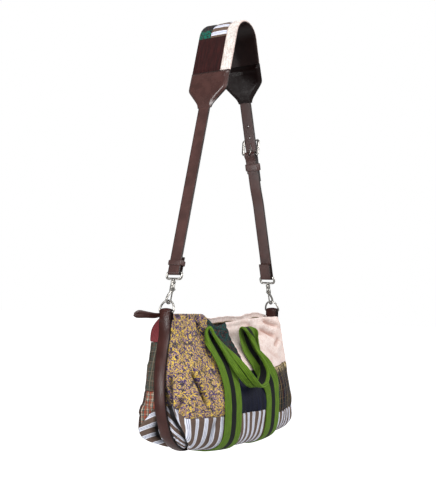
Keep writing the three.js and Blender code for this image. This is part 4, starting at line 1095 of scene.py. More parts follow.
def strap_outline(half, thick, crown, corner=0.8, across=13):
    """A closed outline of a flat strap: a crowned top and a flat underside with rounded edges."""
    top = np.linspace(-half + corner, half - corner, across)
    turn = np.linspace(0, math.pi / 2, 4)[1:-1]
    rise = thick / 2 + crown * (1 - (top / half) ** 2)
    right = np.stack([half - corner + corner * np.sin(turn), thick / 2 - corner + corner * np.cos(turn)], -1)
    sides = np.concatenate([right, right[::-1] * [1, -1]])
    upper = np.stack([top, rise], -1)
    lower = np.stack([top[::-1], np.full(across, -thick / 2)], -1)
    return np.concatenate([upper, sides, lower, -sides])


def skin_faces(first, rows, count, closed=False):
    """Faces round a row of rings of points, with flat caps unless the last ring meets the first."""
    index = first + np.arange(rows * count).reshape(rows, count)
    if closed:
        index = np.concatenate([index, index[:1]])
    beside = np.roll(index, -1, axis=1)
    faces = np.stack([index[:-1], beside[:-1], beside[1:], index[1:]], -1).reshape(-1, 4).tolist()
    return faces if closed else faces + [index[0, ::-1].tolist(), index[-1].tolist()]


def sweep_mesh(name, centre, across, outward, outlines, closed=False):
    """Carries an outline along a path, one outline a station, with flat caps unless the path closes."""
    rows = len(centre)
    outlines = np.broadcast_to(outlines, (rows,) + np.shape(outlines)[-2:])
    count = outlines.shape[1]
    points = centre[:, None] + outlines[..., :1] * across[:, None] + outlines[..., 1:] * outward[:, None]
    pattern = np.stack([outlines[..., 0], np.repeat(run_length(centre)[:, None], count, 1)], -1)
    faces = skin_faces(0, rows, count, closed)
    return finish_mesh(name, points.reshape(-1, 3), faces, pattern.reshape(-1, 2))


def strip_path(leg):
    """Up the end seam, over the D-ring's bar and down behind."""
    bar = strap_point(leg, leg["ring"], 0, EYE_N + RING_X)
    bar_x = leg["hand"] * (bar[0] - BAG_X)
    loop = RING_WIRE + GAP + STRIP_THICK / 2
    rest = CLOTH / 2 + GAP + STRIP_THICK / 2 + STRIP_EASE
    v = np.linspace(0, STRIP_TOP, STRIP_STATIONS)
    row, after = section(v), section(v + 0.05)
    run = np.hypot(after["end"] - row["end"], after["end_z"] - row["end_z"])
    tucked = (rest + STRIP_TUCK) * (1 - ease(v, *STRIP_OUT))
    out = (rest - tucked + (bar_x + loop - row["end"] - rest) * ease(v, SHOULDER, STRIP_TOP)) / run
    seam = np.stack([row["end"] + out * (after["end_z"] - row["end_z"]),
                     row["end_z"] - out * (after["end"] - row["end"])], -1)
    turn = np.linspace(0, math.pi, 17)
    over = np.stack([bar_x + loop * np.cos(turn), bar[2] + loop * np.sin(turn)], -1)
    tail = np.array([(bar_x - loop, bar[2] - STRIP_TAIL * k) for k in (0.33, 0.66, 1.0)])
    path = np.concatenate([seam, over, tail])
    return np.stack([leg["hand"] * path[:, 0] + BAG_X, np.zeros(len(path)), path[:, 1]], -1)


STITCH_LONG, STITCH_RADIUS = 2.6, 0.42
# Along a stitch: place and radius, as shares of its length and radius
STITCH_FORM = ((-0.5, 0.35), (-0.38, 0.85), (0, 1.0), (0.38, 0.85), (0.5, 0.35))


def stitch_mesh(name, places, directions, outs):
    """Short rounded threads, each lying at a place along a direction and half sunk in the surface."""
    turn = np.linspace(0, 2 * math.pi, 7)[:-1, None]
    points, faces = [], []
    for place, direction, out in zip(places, directions, outs):
        ring = np.cos(turn) * unit(np.cross(direction, out)) + np.sin(turn) * out
        faces += skin_faces(len(points) * len(turn), len(STITCH_FORM), len(turn))
        points += [place + direction * k * STITCH_LONG + STITCH_RADIUS * r * ring for k, r in STITCH_FORM]
    return finish_mesh(name, np.concatenate(points), faces)


def thread(name, colour):
    """Twisted sewing thread."""
    twine = Finish(name, {"Roughness": 0.6})
    twist = twine.ramp(twine.noise(twine.add("TexCoord").outputs["Object"], 900.0, 2.0), 0.35, 0.65)
    twine.set("Base Color", twine.mix(twine.math("MULTIPLY", twist, 0.5), colour, linear(30, 24, 24)))
    return twine.material


DARK_THREAD = thread("dark_thread", linear(74, 52, 48))
STRIP_LEATHER = leather("strip_leather", linear(50, 22, 18), linear(62, 31, 26), EDGE_PAINT, STRIP_WIDE / 2,
                        roughness=0.3, gloss=0.24)
# Heights of the two rows of thread, and places of the stitches across the strip
THREAD_ROWS, THREAD_PLACES = (-571.0, -575.5), np.arange(-10.5, 10.6, 3.5)[:, None]
for word, leg in (("left", LEFT_STRAP), ("right", RIGHT_STRAP)):
    node = "side_strip_" + word
    path = strip_path(leg)
    across = np.tile(ACROSS, (len(path), 1))
    outward = leg["hand"] * unit(np.cross(across, unit(np.gradient(path, axis=0))))
    outline = strap_outline(STRIP_WIDE / 2, STRIP_THICK, STRIP_CROWN)
    place_piece(node, sweep_mesh(node + "_leather", path, across, outward, outline), STRIP_LEATHER)
    rows = [int(np.argmin(np.abs(path[:STRIP_STATIONS, 2] - height))) for height in THREAD_ROWS]
    rise = STRIP_THICK / 2 + STRIP_CROWN * (1 - (2 * THREAD_PLACES / STRIP_WIDE) ** 2)
    spots = np.concatenate([path[i] + outward[i] * rise + THREAD_PLACES * ACROSS for i in rows])
    outs = np.repeat(outward[rows], len(THREAD_PLACES), axis=0)
    stitches = stitch_mesh("strip_thread_" + word, spots, np.tile(ACROSS, (len(spots), 1)), outs)
    add_piece(stitches, DARK_THREAD)

# Webbing handles
# Each handle is one length of heavy green cotton webbing with a black stripe down its middle.
# It runs under the base and up the wall as two flat legs, and its grip is folded so that the edges meet.
WEB_WIDE, WEB_THICK, WEB_EASE = 50.0, 2.4, 0.6
WEB_OUT = CLOTH / 2 + GAP + WEB_THICK / 2 + WEB_EASE
GRIP_WIDE, FOLD_BEND = 26.0, 1.9
FOLD_TAKES = FOLD_BEND + WEB_THICK / 2
LEG_TOP, BACK_FULLER = 4.9, 15.0
BLACK_HALF, WEB_RIB, WEB_CORD = 7.0, 3.1, 1.7
# The loose part: x, y, z, degrees that the width is turned from X toward +Y, width
HANDLE_FREE = np.array([
    (-67, -71, -702, 0, 50), (-66.5, -66, -684, 0, 50), (-69, -56, -655, 0, 49), (-76, -43.5, -630, 4, 45),
    (-82, -33, -612, 12, 38), (-85, -26.5, -599.5, 22, 32), (-85.5, -24, -591, 30, 29),
    (-84, -25.5, -586.5, 35, 28), (-82, -28.5, -589, 37, 27), (-78, -34.5, -602, 35, 26),
    (-69, -46.5, -621, 20, 26), (-56, -60, -643, -18, 26), (-42, -74, -665, -44, 26),
    (-29, -82, -681, -54, 26), (-16, -85, -690, -58, 26), (-2, -85.5, -690.5, -64, 26),
    (13, -82.5, -684.5, -76, 26), (27, -77, -672, -98, 26), (34, -69, -656, -122, 26),
    (36.5, -60, -639, -146, 26), (35.5, -52, -620, -166, 28), (34, -46, -605, -174, 33),
    (31.5, -39.5, -593, -172, 40), (30, -32.5, -587, -169, 46),
    (28.5, -29, -592, -168, 49), (28.5, -32, -605, -172, 50), (31, -44, -630, -184, 50),
    (42, -61.5, -657, -193, 50), (57, -70.5, -682, -188, 50), (66, -73, -701, -182, 50),
])


def folded_section(place, width):
    """Where a thread at a place across the webbing lies when it is folded to a width: across, and behind."""
    folded = ease(WEB_WIDE - width, 2, WEB_WIDE - GRIP_WIDE)
    half = width / 2 - folded * FOLD_TAKES
    turn = math.pi * folded
    beyond = np.maximum(np.abs(place) - half, 0)
    bent = np.minimum(beyond / FOLD_BEND, turn)
    straight = beyond - bent * FOLD_BEND
    across = np.minimum(np.abs(place), half) + FOLD_BEND * np.sin(bent) + straight * np.cos(bent)
    behind = FOLD_BEND * (1 - np.cos(bent)) + straight * np.sin(bent)
    return np.sign(place) * across, behind


WEB_PLACES = np.linspace(-WEB_WIDE / 2, WEB_WIDE / 2, 41)


def handle_leg(side, hand):
    """Points of a flat leg from under the base up the wall."""
    v = np.concatenate([[0.012], np.linspace(0.12, LEG_TOP, 64)])
    x = hand * LEG_X + WEB_PLACES[None, :]
    height = np.repeat(v[:, None], len(WEB_PLACES), 1)
    angle = angle_at(np.repeat(x, len(v), 0), height)
    return bag_form(side, angle, height) + bag_normal(side, angle, height) * WEB_OUT + np.array([BAG_X, 0, 0])


def handle_loop(side):
    """Points of the loose part, folded lengthwise at the grip."""
    last = len(HANDLE_FREE) - 1
    index = np.linspace(0, last, 190)

    def place(i):
        row = blend_rows(HANDLE_FREE, np.clip(i, 0, last))
        fuller = BACK_FULLER * ease(row[:, 2], -720, -650) if side > 0 else 0
        return np.stack([row[:, 0] + BAG_X, -side * row[:, 1] + fuller, row[:, 2]], -1)

    row = blend_rows(HANDLE_FREE, index)
    path = unit(place(index + 0.1) - place(index - 0.1))
    turn = np.radians(row[:, 3])
    across = np.stack([np.cos(turn), -side * np.sin(turn), np.zeros_like(turn)], -1)
    across = unit(across - (across * path).sum(-1, keepdims=True) * path)
    outward = -side * np.cross(across, path)
    spots, behind = zip(*(folded_section(WEB_PLACES, width) for width in row[:, 4]))
    spots, behind = np.array(spots), np.array(behind)
    thick = ease(WEB_WIDE - row[:, 4], 2, WEB_WIDE - GRIP_WIDE)
    centre = place(index) + outward * thick[:, None]
    return centre[:, None] + spots[..., None] * across[:, None] - behind[..., None] * outward[:, None]


# Rows on each side of a joint between leg and loop that are smoothed, and how often
JOINT_ROWS, JOINT_ROUNDS = 8, 10
# Share of the thickness that shows, and how much thinner the woven edge is
WEB_SHOWN, EDGE_THINNER = 0.86, 0.35


def handle_mesh(name, side):
    """A leg, the loose part and the other leg as one length of webbing."""
    left, right = handle_leg(side, -1), handle_leg(side, 1)
    grid = np.concatenate([left, handle_loop(side), right[::-1, ::-1]])
    for joint in (len(left), len(grid) - len(right)):
        near = slice(joint - JOINT_ROWS, joint + JOINT_ROWS)
        for _ in range(JOINT_ROUNDS):
            grid[near] = (np.roll(grid, 1, 0) + grid * 2 + np.roll(grid, -1, 0))[near] / 4
    normal = unit(np.cross(np.gradient(grid, axis=1), np.gradient(grid, axis=0))) * -side
    edge = 1 - EDGE_THINNER * bump(np.abs(WEB_PLACES), WEB_WIDE / 2, 1.2)
    half = (WEB_SHOWN * WEB_THICK / 2 * edge)[None, :, None]
    run = run_length(grid[:, len(WEB_PLACES) // 2])
    pattern = np.stack(np.broadcast_arrays(WEB_PLACES[None, :], run[:, None]), -1)
    return shell_mesh(name, grid + normal * half, grid - normal * half, pattern)


def green_webbing():
    """Ribbed green webbing with painted shade in its grooves and a black stripe down its middle."""
    cloth = Cloth("green_webbing", 0.8, 0.05, thread=2.2, bump_height=0.5)
    ribs, cords = cloth.ribs(cloth.across, WEB_RIB), cloth.ribs(cloth.up, WEB_CORD)
    woven = cloth.math("ADD", cloth.math("MULTIPLY", ribs, 0.5), cloth.math("MULTIPLY", cords, 0.7))
    cloth.feed(cloth.relief, woven)
    wide = cloth.math("ABSOLUTE", cloth.across)
    black = cloth.ramp(wide, BLACK_HALF + 0.3, BLACK_HALF - 0.3)
    slubs = cloth.ramp(cloth.streaks(0.5, 0.06, 3.0), 0.3, 0.75)
    # Painted shade: the weave's low places are painted a darker green.
    groove_shade = cloth.ramp(woven, -1.1, 0.3)
    green = cloth.mix(slubs, linear(88, 120, 24), linear(112, 148, 38))
    green = cloth.mix(groove_shade, linear(50, 76, 14), green)
    return cloth.colour(cloth.mix(black, green, linear(9, 9, 11)), dye=0.06)


GREEN_WEBBING = green_webbing()
for side, node in ((-1, "handle_front"), (1, "handle_back")):
    place_piece(node, handle_mesh(node + "_webbing", side), GREEN_WEBBING)

# Shoulder pad
# A padded band bent over the shoulder: near-black leather inside, and outside a patchwork of burgundy cord,
# striped cotton, dark figured cloth and a cream band along the front edge. Its seams are drawn in.
PAD_COVER, PAD_HALF = 3.0, 44.5
PAD_FROM, PAD_TO = -128.0, 92.5
PATCH_BAND, PATCH_TEAL, PATCH_LOW, PATCH_HIGH = -22.0, 15.0, -54.0, 5.0
LINING_N = -LINING_BELOW - LINING / 2
COVER_N = -LINING_BELOW + GAP + PAD_COVER / 2
PAD_STEP, BAND_STEP, LINING_STEP = 1.6, 0.55, 2.2
PAD_EDGE = 2.5


def pad_point(s, y, n):
    """A place on the pad, with s below 0 on the left."""
    left = strap_point(LEFT_STRAP, s, y, n)
    right = strap_point(RIGHT_STRAP, s, y, n)
    return np.where((s < 0)[..., None], left, right)


def pad_grid(start, stop, near, far, step):
    """Places along and across a part of the pad."""
    rows, columns = int((stop - start) / step) + 2, int((far - near) / step) + 2
    s = np.repeat(np.linspace(start, stop, rows)[:, None], columns, 1)
    y = np.repeat(np.linspace(near, far, columns)[None, :], rows, 0)
    return s, y


def rolled_edge(y):
    """How far the pad's surface has turned down at its two long edges, from 0 to 1."""
    past = np.clip((np.abs(y) - PAD_HALF + PAD_EDGE) / PAD_EDGE, 0, 1)
    return 1 - np.sqrt(np.clip(1 - past ** 2, 0, 1))


# A patch's puff and how far in it is full, its slack waves, and the thread's pull
PAD_PUFF, PUFF_FULL, PAD_WAVE, PAD_PULL = 1.5, 7, 0.25, 0.25
# How far its seams are sunk, and its drop at the pad's long edges
PAD_SUNK, PAD_ROLL = 0.6, 1.6
# The cream band has a ribbed border along each side, and raised figures between them
BAND_RIB, RIB_HIGH, BORDER_TO, FIGURE_HIGH = 1.7, 0.4, 7.4, 0.5


def pad_patch(name, start, stop, near, far):
    """A puffed patch of the pad's outer face."""
    ribbed = far == PATCH_BAND
    s, y = pad_grid(start, stop, near, far, BAND_STEP if ribbed else PAD_STEP)
    side_edge = np.minimum(y - near, far - y)
    edge = np.minimum(np.minimum(s - start, stop - s), side_edge)
    puff = PAD_PUFF * ease(edge, 0, PUFF_FULL) + PAD_WAVE * np.sin(s / 5 + np.sin(y / 9)) * ease(edge, 1, 6)
    thread_pull = PAD_PULL * np.sin((s + y) / 1.3) * bump(edge, 1.5, 2)
    if ribbed:
        border = ease(side_edge, 0.8, 1.6) * ease(BORDER_TO - side_edge, 0, 0.8)
        figure = np.sin(s / 5.2 + 1.4 * np.sin(y / 3.1)) * np.sin(y / 2.6 + 0.8 * np.sin(s / 7.7))
        puff = puff + RIB_HIGH * border * np.sin(2 * math.pi * side_edge / BAND_RIB)
        inside = ease(side_edge, BORDER_TO + 0.2, BORDER_TO + 1.2)
        puff = puff + FIGURE_HIGH * ease(figure, 0.1, 0.5) * inside
    outer_n = COVER_N + PAD_COVER / 2 - PAD_SUNK + puff + thread_pull - PAD_ROLL * rolled_edge(y)
    inner_n = np.full_like(s, COVER_N - PAD_COVER / 2)
    outer, inner = pad_point(s, y, outer_n), pad_point(s, y, inner_n)
    # Painted shade: the colour darkens toward each patch's sunk seams.
    return shell_mesh(name, outer, inner, np.stack([y, s], -1), np.clip(0.5 - edge / 4, 0, 1))


def cross_striped():
    """The same striped cotton, cut so that its stripes run across the pad."""
    cloth = Cloth("cross_striped", 0.75, 0.06)
    tones = ((104, 84, 72), (226, 228, 240), (138, 146, 186))
    return cloth.colour(stripes(cloth, cloth.up, (15.2, 8.0), (2.0, 3.7), 1.0, tones))


IVORY_SATIN = cream_satin("ivory_satin", linear(234, 227, 222), linear(218, 208, 202), linear(166, 150, 142))
BURGUNDY_CORD = burgundy_cord("burgundy_cord", linear(24, 6, 7), linear(44, 14, 14), linear(72, 28, 26))
PAD_FIGURED = dark_figured("pad_figured", -33, -39, linear(6, 96, 80))
BESIDE_BAND, PAST_LOW = PATCH_BAND + GAP, PATCH_LOW + GAP
PAD_PATCHES = [
    # node, slot, material, start and stop along the strap, near and far edge across it
    ("pad_cream_band", "cream", IVORY_SATIN, PAD_FROM, PAD_TO, -PAD_HALF, PATCH_BAND),
    ("pad_burgundy_left", "burgundy", BURGUNDY_CORD, PAD_FROM, PATCH_LOW, BESIDE_BAND, PAD_HALF),
    ("pad_stripe", "stripe", cross_striped(), PAST_LOW, PATCH_HIGH, BESIDE_BAND, PATCH_TEAL),
    ("pad_teal", "teal", PAD_FIGURED, PAST_LOW, PATCH_HIGH, PATCH_TEAL + GAP, PAD_HALF),
    ("pad_burgundy_right", "burgundy", BURGUNDY_CORD, PATCH_HIGH + 3 * GAP, PAD_TO, BESIDE_BAND, PAD_HALF),
]
for node, slot, material, start, stop, near, far in PAD_PATCHES:
    patch = place_piece(node, pad_patch(node + "_cloth", start, stop, near, far), material)


LINING_SLACK, LINING_ROLL = 0.5, 0.9


def pad_lining(name):
    """The inner leather, slightly slack between its edges."""
    s, y = pad_grid(PAD_FROM - GAP, PAD_TO + GAP, -PAD_HALF, PAD_HALF, LINING_STEP)
    slack = LINING_SLACK * np.sin(s / 21) * ease(PAD_HALF - np.abs(y), 0, 20)
    inner_n = LINING_N - LINING / 2 + LINING_ROLL * rolled_edge(y) - slack
    outer_n = np.full_like(s, LINING_N + LINING / 2)
    return shell_mesh(name, pad_point(s, y, outer_n), pad_point(s, y, inner_n), np.stack([y, s], -1))


BLACK_LEATHER = leather("black_leather", linear(28, 12, 11), linear(38, 19, 17), EDGE_PAINT,
                        roughness=0.45, gloss=0.3)
place_piece("pad_lining", pad_lining("pad_lining_leather"), BLACK_LEATHER)
PAD_STITCH, PAD_STITCH_FROM = 4.0, 3


def pad_seam_thread(name, line_y):
    """A row of stitches along the cream band."""
    s = np.arange(PAD_FROM + PAD_STITCH_FROM, PAD_TO - PAD_STITCH_FROM, PAD_STITCH)
    y = np.full_like(s, line_y)
    n = np.full_like(s, COVER_N + PAD_COVER / 2 - 0.1)
    places, after = pad_point(s, y, n), pad_point(s + 0.5, y, n)
    outs = unit(pad_point(s, y, n + 1) - places)
    return stitch_mesh(name, places, unit(after - places), outs)


CREAM_THREAD = thread("cream_thread", linear(232, 218, 208))
add_piece(pad_seam_thread("pad_band_thread_inner", PATCH_BAND - 2.2), CREAM_THREAD)
add_piece(pad_seam_thread("pad_band_thread_outer", -PAD_HALF + 3.4), CREAM_THREAD)

# Leather end pieces of the pad
# Each is a padded tongue of the strap leather that widens from the seam and tapers to the strap's width.
# Its border is pressed flat and sewn, so the middle stands up in a plump panel with a shining edge.
TAB_LENGTH, TAB_SEAM_LONG = 74.5, 10
TAB_WALL, TAB_SLOPE, TAB_BEVEL, TAB_ROUND = 1.2, 0.8, 3.2, 4.5
TAB_CORNER = 5.0
# How plump the tip stays, and over what length it thins
TIP_PLUMP, TIP_LONG = 0.35, 26
# At the seam: how far the piece is drawn in and how near, height and width of the fold past that
SEAM_DRAW, SEAM_NEAR, SEAM_FOLD, FOLD_WIDE = 0.7, 4.5, 0.7, 4
# Widths of the painted shade line at the seam and of the painted edge
TAB_SEAM_SHADE, TAB_PAINT = 2.6, 1.2
# Half width of an end piece: distance from the seam, half width
TAB_HALVES = np.array([(0, 44.5), (18.5, 44.8), (37, 45.0), (67, 17.5), (74.5, 15.0)])


def tab_half(along_tab):
    """Half width with the corners rounded off, as a mean over a short stretch."""
    stretch = np.linspace(-TAB_CORNER, TAB_CORNER, 9)
    return np.mean([np.interp(along_tab + k, *TAB_HALVES.T) for k in stretch], axis=0)


def end_tab(name, leg, seam):
    """A plump tongue, thin along its edges, with its back marked as lined."""
    near_seam = np.linspace(0, TAB_SEAM_LONG, 15)
    along_tab = np.concatenate([near_seam, np.linspace(TAB_SEAM_LONG, TAB_LENGTH, 56)[1:]])
    half = tab_half(along_tab)[:, None]
    y = half * np.sin(np.linspace(-1, 1, 81) * math.pi / 2)[None, :]
    slant = 1 / np.sqrt(1 + np.gradient(half[:, 0], along_tab) ** 2)
    from_edge = np.minimum((half - np.abs(y)) * slant[:, None], (TAB_LENGTH - along_tab)[:, None])
    rounding = np.clip((from_edge - TAB_BEVEL) / TAB_ROUND, 0, 1)
    pillow = TAB_SLOPE * (np.minimum(from_edge, TAB_BEVEL) + TAB_ROUND * (rounding - rounding ** 2 / 2))
    full = TIP_PLUMP + (1 - TIP_PLUMP) * ease(TAB_LENGTH - along_tab, 0, TIP_LONG)[:, None]
    drawn_in = 1 - SEAM_DRAW * bump(along_tab, 0, SEAM_NEAR)[:, None]
    seam_fold = SEAM_FOLD * bump(along_tab, TAB_SEAM_LONG, FOLD_WIDE)[:, None] * ease(from_edge, 2, 9)
    half_thick = TAB_WALL + pillow * full * drawn_in + seam_fold
    s = leg["hand"] * (abs(seam) + along_tab)[:, None] + 0 * y
    painted = 1 - np.clip(from_edge / TAB_PAINT, 0, 1)
    # The seam's dark line is painted shade in its crease; the darkening at the border is real edge paint.
    crease = np.maximum(bump(along_tab, 0, TAB_SEAM_SHADE)[:, None] + 0 * y, painted)
    outer, inner = strap_point(leg, s, y, half_thick), strap_point(leg, s, y, -half_thick)
    mesh = shell_mesh(name, outer, inner, np.stack([y, s], -1), np.clip(crease, 0, 1))
    lined = mesh.attributes.new("lined", "FLOAT", "POINT")
    lined.data.foreach_set("value", np.repeat([0.0, 1.0], y.size))
    return mesh


TAB_LEATHER = leather("tab_leather", LEATHER_DARK, LEATHER_LIGHT, EDGE_PAINT, roughness=0.26,
                      lining=linear(23, 10, 9))
for node, leg, seam in (("end_tab_left", LEFT_STRAP, PAD_FROM), ("end_tab_right", RIGHT_STRAP, PAD_TO)):
    tab = place_piece(node, end_tab(node + "_leather", leg, seam), TAB_LEATHER)

# Straps, keepers and buckle
# The left strap runs from its end piece round the left snap's eye. The right one is in two lengths joined
# by a buckle: the upper has punched holes, and passes under the top bar and over the heel bar.
BUCKLE_AT, BUCKLE_HALF, BUCKLE_LONG, BUCKLE_WIRE, BUCKLE_CORNER = 256.0, 17.4, 13.4, 1.6, 4.0
# How much broader the buckle's sides are, and how far in from them that starts
BUCKLE_SPREAD, SPREAD_IN = 2.0, 4
EYE_AT, EYE_HALF_HIGH, EYE_CLEAR = 67.0, 6.0, 4
STRAP_FOLD, TAIL, STRAP_TUCK, STRAP_CROWN = 29.0, 70.0, 5.0, 0.25
STACK = STRAP_THICK + GAP
BAR_STAND = STRAP_THICK / 2 + GAP + BUCKLE_WIRE
# Places along the right strap and outward from it
TOP_BAR = (BUCKLE_AT - BUCKLE_LONG, BAR_STAND)
HEEL_BAR = (BUCKLE_AT + BUCKLE_LONG, -STACK - BAR_STAND)
STRAP_LEATHER = leather("strap_leather", LEATHER_DARK, LEATHER_LIGHT, EDGE_PAINT, STRAP_WIDE / 2, gloss=0.42)


def turn_round(s, n, radius, start, stop, count=15):
    """Places round a bar, along the strap and outward from it."""
    a = np.linspace(start, stop, count)
    return [(s + radius * math.cos(k), n + radius * math.sin(k)) for k in a]


def eye_bar(leg):
    """How far along a leg the eye's upper bar is."""
    return leg["ring"] - EYE_AT - EYE_HALF_HIGH


def eye_fold(leg):
    """Places round the eye's bar and back up behind the strap."""
    bar = eye_bar(leg)
    turn = turn_round(bar, EYE_N, -EYE_N, math.pi / 2, -math.pi / 2)
    return turn + [(bar - STRAP_FOLD * k, 2 * EYE_N) for k in (0.25, 0.5, 0.75, 1.0)]


def strap_mesh(name, leg, path):
    """A strap along a path of places on a leg: how far along it, and how far outward."""
    path = np.array(path)
    centre = strap_point(leg, leg["hand"] * path[:, 0], 0, path[:, 1])
    across = np.tile(ACROSS, (len(path), 1))
    outward = leg["hand"] * unit(np.cross(unit(np.gradient(centre, axis=0)), across)) * -1
    outline = strap_outline(STRAP_WIDE / 2, STRAP_THICK, STRAP_CROWN)
    return sweep_mesh(name, centre, across, outward, outline)


def straight(start, stop):
    """Places along the strap's own line."""
    return [(s, 0.0) for s in np.linspace(start, stop, 40)]


left_path = straight(-PAD_FROM + TAB_LENGTH - STRAP_TUCK, eye_bar(LEFT_STRAP) - EYE_CLEAR)
left_path += eye_fold(LEFT_STRAP)
left_strap = strap_mesh("strap_left_leather", LEFT_STRAP, left_path)
place_piece("strap_left", left_strap, STRAP_LEATHER)

HOLE_PLACES, HOLE_RADIUS, HOLE_DEPTH = (213.0, 236.5, 283.5, 307.0), 1.7, 8.0
# The hole that the prong stands in is drawn long, and the prong's root has a slot: radius, half length, depth
PRONG_HOLE_LONG = 4.2
SLOT_BEFORE, SLOT_SIZE = 3, (2.7, 3.0, 34.0)


def strap_frame(leg, s, n=0.0):
    """A place on the strap, and the directions up along the leg and outward from it there."""
    here = strap_point(leg, leg["hand"] * s, 0, n)
    up = unit(strap_point(leg, leg["hand"] * (s - 1), 0, n) - here)
    out = unit(strap_point(leg, leg["hand"] * s, 0, n + 1) - here)
    return here, up, out


def punch(piece, cutters):
    """Cuts the holes through a strap."""
    for cutter in cutters:
        bpy.context.collection.objects.link(cutter)
        hole = piece.modifiers.new("hole", "BOOLEAN")
        hole.operation = "DIFFERENCE"
        hole.solver = "EXACT"
        hole.object = cutter
    shaped = bpy.data.meshes.new_from_object(piece.evaluated_get(bpy.context.evaluated_depsgraph_get()))
    piece.modifiers.clear()
    piece.data = shaped
    for cutter in cutters:
        bpy.data.objects.remove(cutter)


def hole_cutter(s, radius=HOLE_RADIUS, stretch=0.0, depth=HOLE_DEPTH):
    """A round or long peg through the right strap, to be cut away from it."""
    here, up, out = strap_frame(RIGHT_STRAP, s)
    a = np.linspace(0, 2 * math.pi, 19)[:-1, None]
    ring = here + radius * np.cos(a) * np.cross(up, out)
    ring = ring + (radius * np.sin(a) + np.sign(np.sin(a)) * stretch) * up
    points = np.concatenate([ring - out * depth / 2, ring + out * depth / 2])
    return bpy.data.objects.new("punch", finish_mesh("punch", points, skin_faces(0, 2, len(a))))


tail_end = BUCKLE_AT + TAIL
upper_path = straight(PAD_TO + TAB_LENGTH - STRAP_TUCK, tail_end)
upper_strap = strap_mesh("strap_upper_leather", RIGHT_STRAP, upper_path)
upper = place_piece("strap_right_upper", upper_strap, STRAP_LEATHER)
punch(upper, [hole_cutter(s) for s in HOLE_PLACES] + [hole_cutter(BUCKLE_AT, stretch=PRONG_HOLE_LONG)])

# The lower length is folded back round the heel bar, then runs under the tail and out to the strap's line.
# Past the tail's end: where it starts to step out, how long the step is, and where it is straight again
STEP_FROM, STEP_LONG, STRAIGHT_FROM = 6, 48, 60
heel_s, heel_n = HEEL_BAR
lower_path = [(heel_s + k, -2 * STACK) for k in (40, 32, 24, 16)]
lower_path += [(heel_s + 10, -2 * STACK - 0.5), (heel_s + 5, heel_n - BAR_STAND + 0.5)]
lower_path += turn_round(heel_s, heel_n, BAR_STAND, -math.pi / 2, -1.5 * math.pi)
lower_path += [(heel_s + 8, -STACK - 0.3), (heel_s + 16, -STACK)]
for k in np.linspace(0, 1, 12):
    lower_path.append((tail_end + STEP_FROM + STEP_LONG * k, -STACK * (1 - float(ease(k, 0, 1)))))
lower_path += straight(tail_end + STRAIGHT_FROM, eye_bar(RIGHT_STRAP) - EYE_CLEAR) + eye_fold(RIGHT_STRAP)
lower_strap = strap_mesh("strap_lower_leather", RIGHT_STRAP, lower_path)
lower = place_piece("strap_right_lower", lower_strap, STRAP_LEATHER)
punch(lower, [hole_cutter(heel_s - SLOT_BEFORE, *SLOT_SIZE)])

KEEPER_WALL, KEEPER_HALF, KEEPER_ROOM, KEEPER_CORNER = 1.5, 13.4, 0.45, 1.4


def round_box(half_a, half_b, corner, count=6):
    """Points of a rectangle with round corners."""
    turn = np.linspace(0, math.pi / 2, count)
    quarter = np.stack([np.cos(turn), np.sin(turn)], -1) * corner
    corners = []
    for k, (a, b) in enumerate(((1, 1), (-1, 1), (-1, -1), (1, -1))):
        spin = np.array([[math.cos(k * math.pi / 2), -math.sin(k * math.pi / 2)],
                         [math.sin(k * math.pi / 2), math.cos(k * math.pi / 2)]])
        corners.append(quarter @ spin.T + [a * (half_a - corner), b * (half_b - corner)])
    return np.concatenate(corners)


def keeper_mesh(name, leg, at, length, inner, outer):
    """A leather band round the strap's layers, from the innermost face to the outermost."""
    here, up, out = strap_frame(leg, at, (inner + outer) / 2)
    half_deep = (outer - inner) / 2 + KEEPER_ROOM + KEEPER_WALL / 2
    middle = round_box(KEEPER_HALF + KEEPER_WALL / 2, half_deep, KEEPER_CORNER)
    centre = here + middle[:, :1] * ACROSS + middle[:, 1:] * out
    forward = unit(np.roll(centre, -1, 0) - np.roll(centre, 1, 0))
    upward = np.tile(up, (len(forward), 1))
    outward = unit(np.cross(forward, upward))
    outward *= np.sign((outward * (centre - here)).sum(-1, keepdims=True))
    outline = strap_outline(length / 2, KEEPER_WALL, 0.3, 0.5, 7)
    return sweep_mesh(name, centre, upward, outward, outline, closed=True)


half_strap = STRAP_THICK / 2
KEEPERS = [
    # node, leg, place along it, length, innermost and outermost face
    ("keeper_left", LEFT_STRAP, eye_bar(LEFT_STRAP) - 17, 9.0, 2 * EYE_N - half_strap, half_strap),
    ("keeper_right", RIGHT_STRAP, heel_s + 27, 14.0, -2 * STACK - half_strap, half_strap),
]
for node, leg, at, length, inner, outer in KEEPERS:
    place_piece(node, keeper_mesh(node + "_leather", leg, at, length, inner, outer), PLAIN_LEATHER)


def tube_points(path, radius, sides=14, closed=False):
    """Points and faces of a round wire along a path, with round ends where the radius falls to nothing."""
    path = np.asarray(path, float)
    radius = np.broadcast_to(np.asarray(radius, float), (len(path),))
    forward = unit(np.roll(path, -1, 0) - np.roll(path, 1, 0)) if closed else unit(np.gradient(path, axis=0))
    side = np.empty_like(path)
    start = ACROSS if abs(forward[0][1]) < 0.8 else np.array([1.0, 0.0, 0.0])
    for i in range(len(path)):
        start = unit(start - (start @ forward[i]) * forward[i])
        side[i] = start
    other = np.cross(forward, side)
    a = np.linspace(0, 2 * math.pi, sides + 1)[:-1, None]
    ring = np.cos(a) * side[:, None] + np.sin(a) * other[:, None]
    points = path[:, None] + radius[:, None, None] * ring
    return points.reshape(-1, 3), skin_faces(0, len(path), sides, closed)


def smooth_path(points, count, closed=False):
    """A smooth curve through points."""
    points = np.asarray(points, float)
    if closed:
        wrapped = np.concatenate([points[-1:], points, points[:2]])
        return blend_rows(wrapped, np.linspace(1, len(points) + 1, count + 1)[:-1])
    return blend_rows(points, np.linspace(0, len(points) - 1, count))


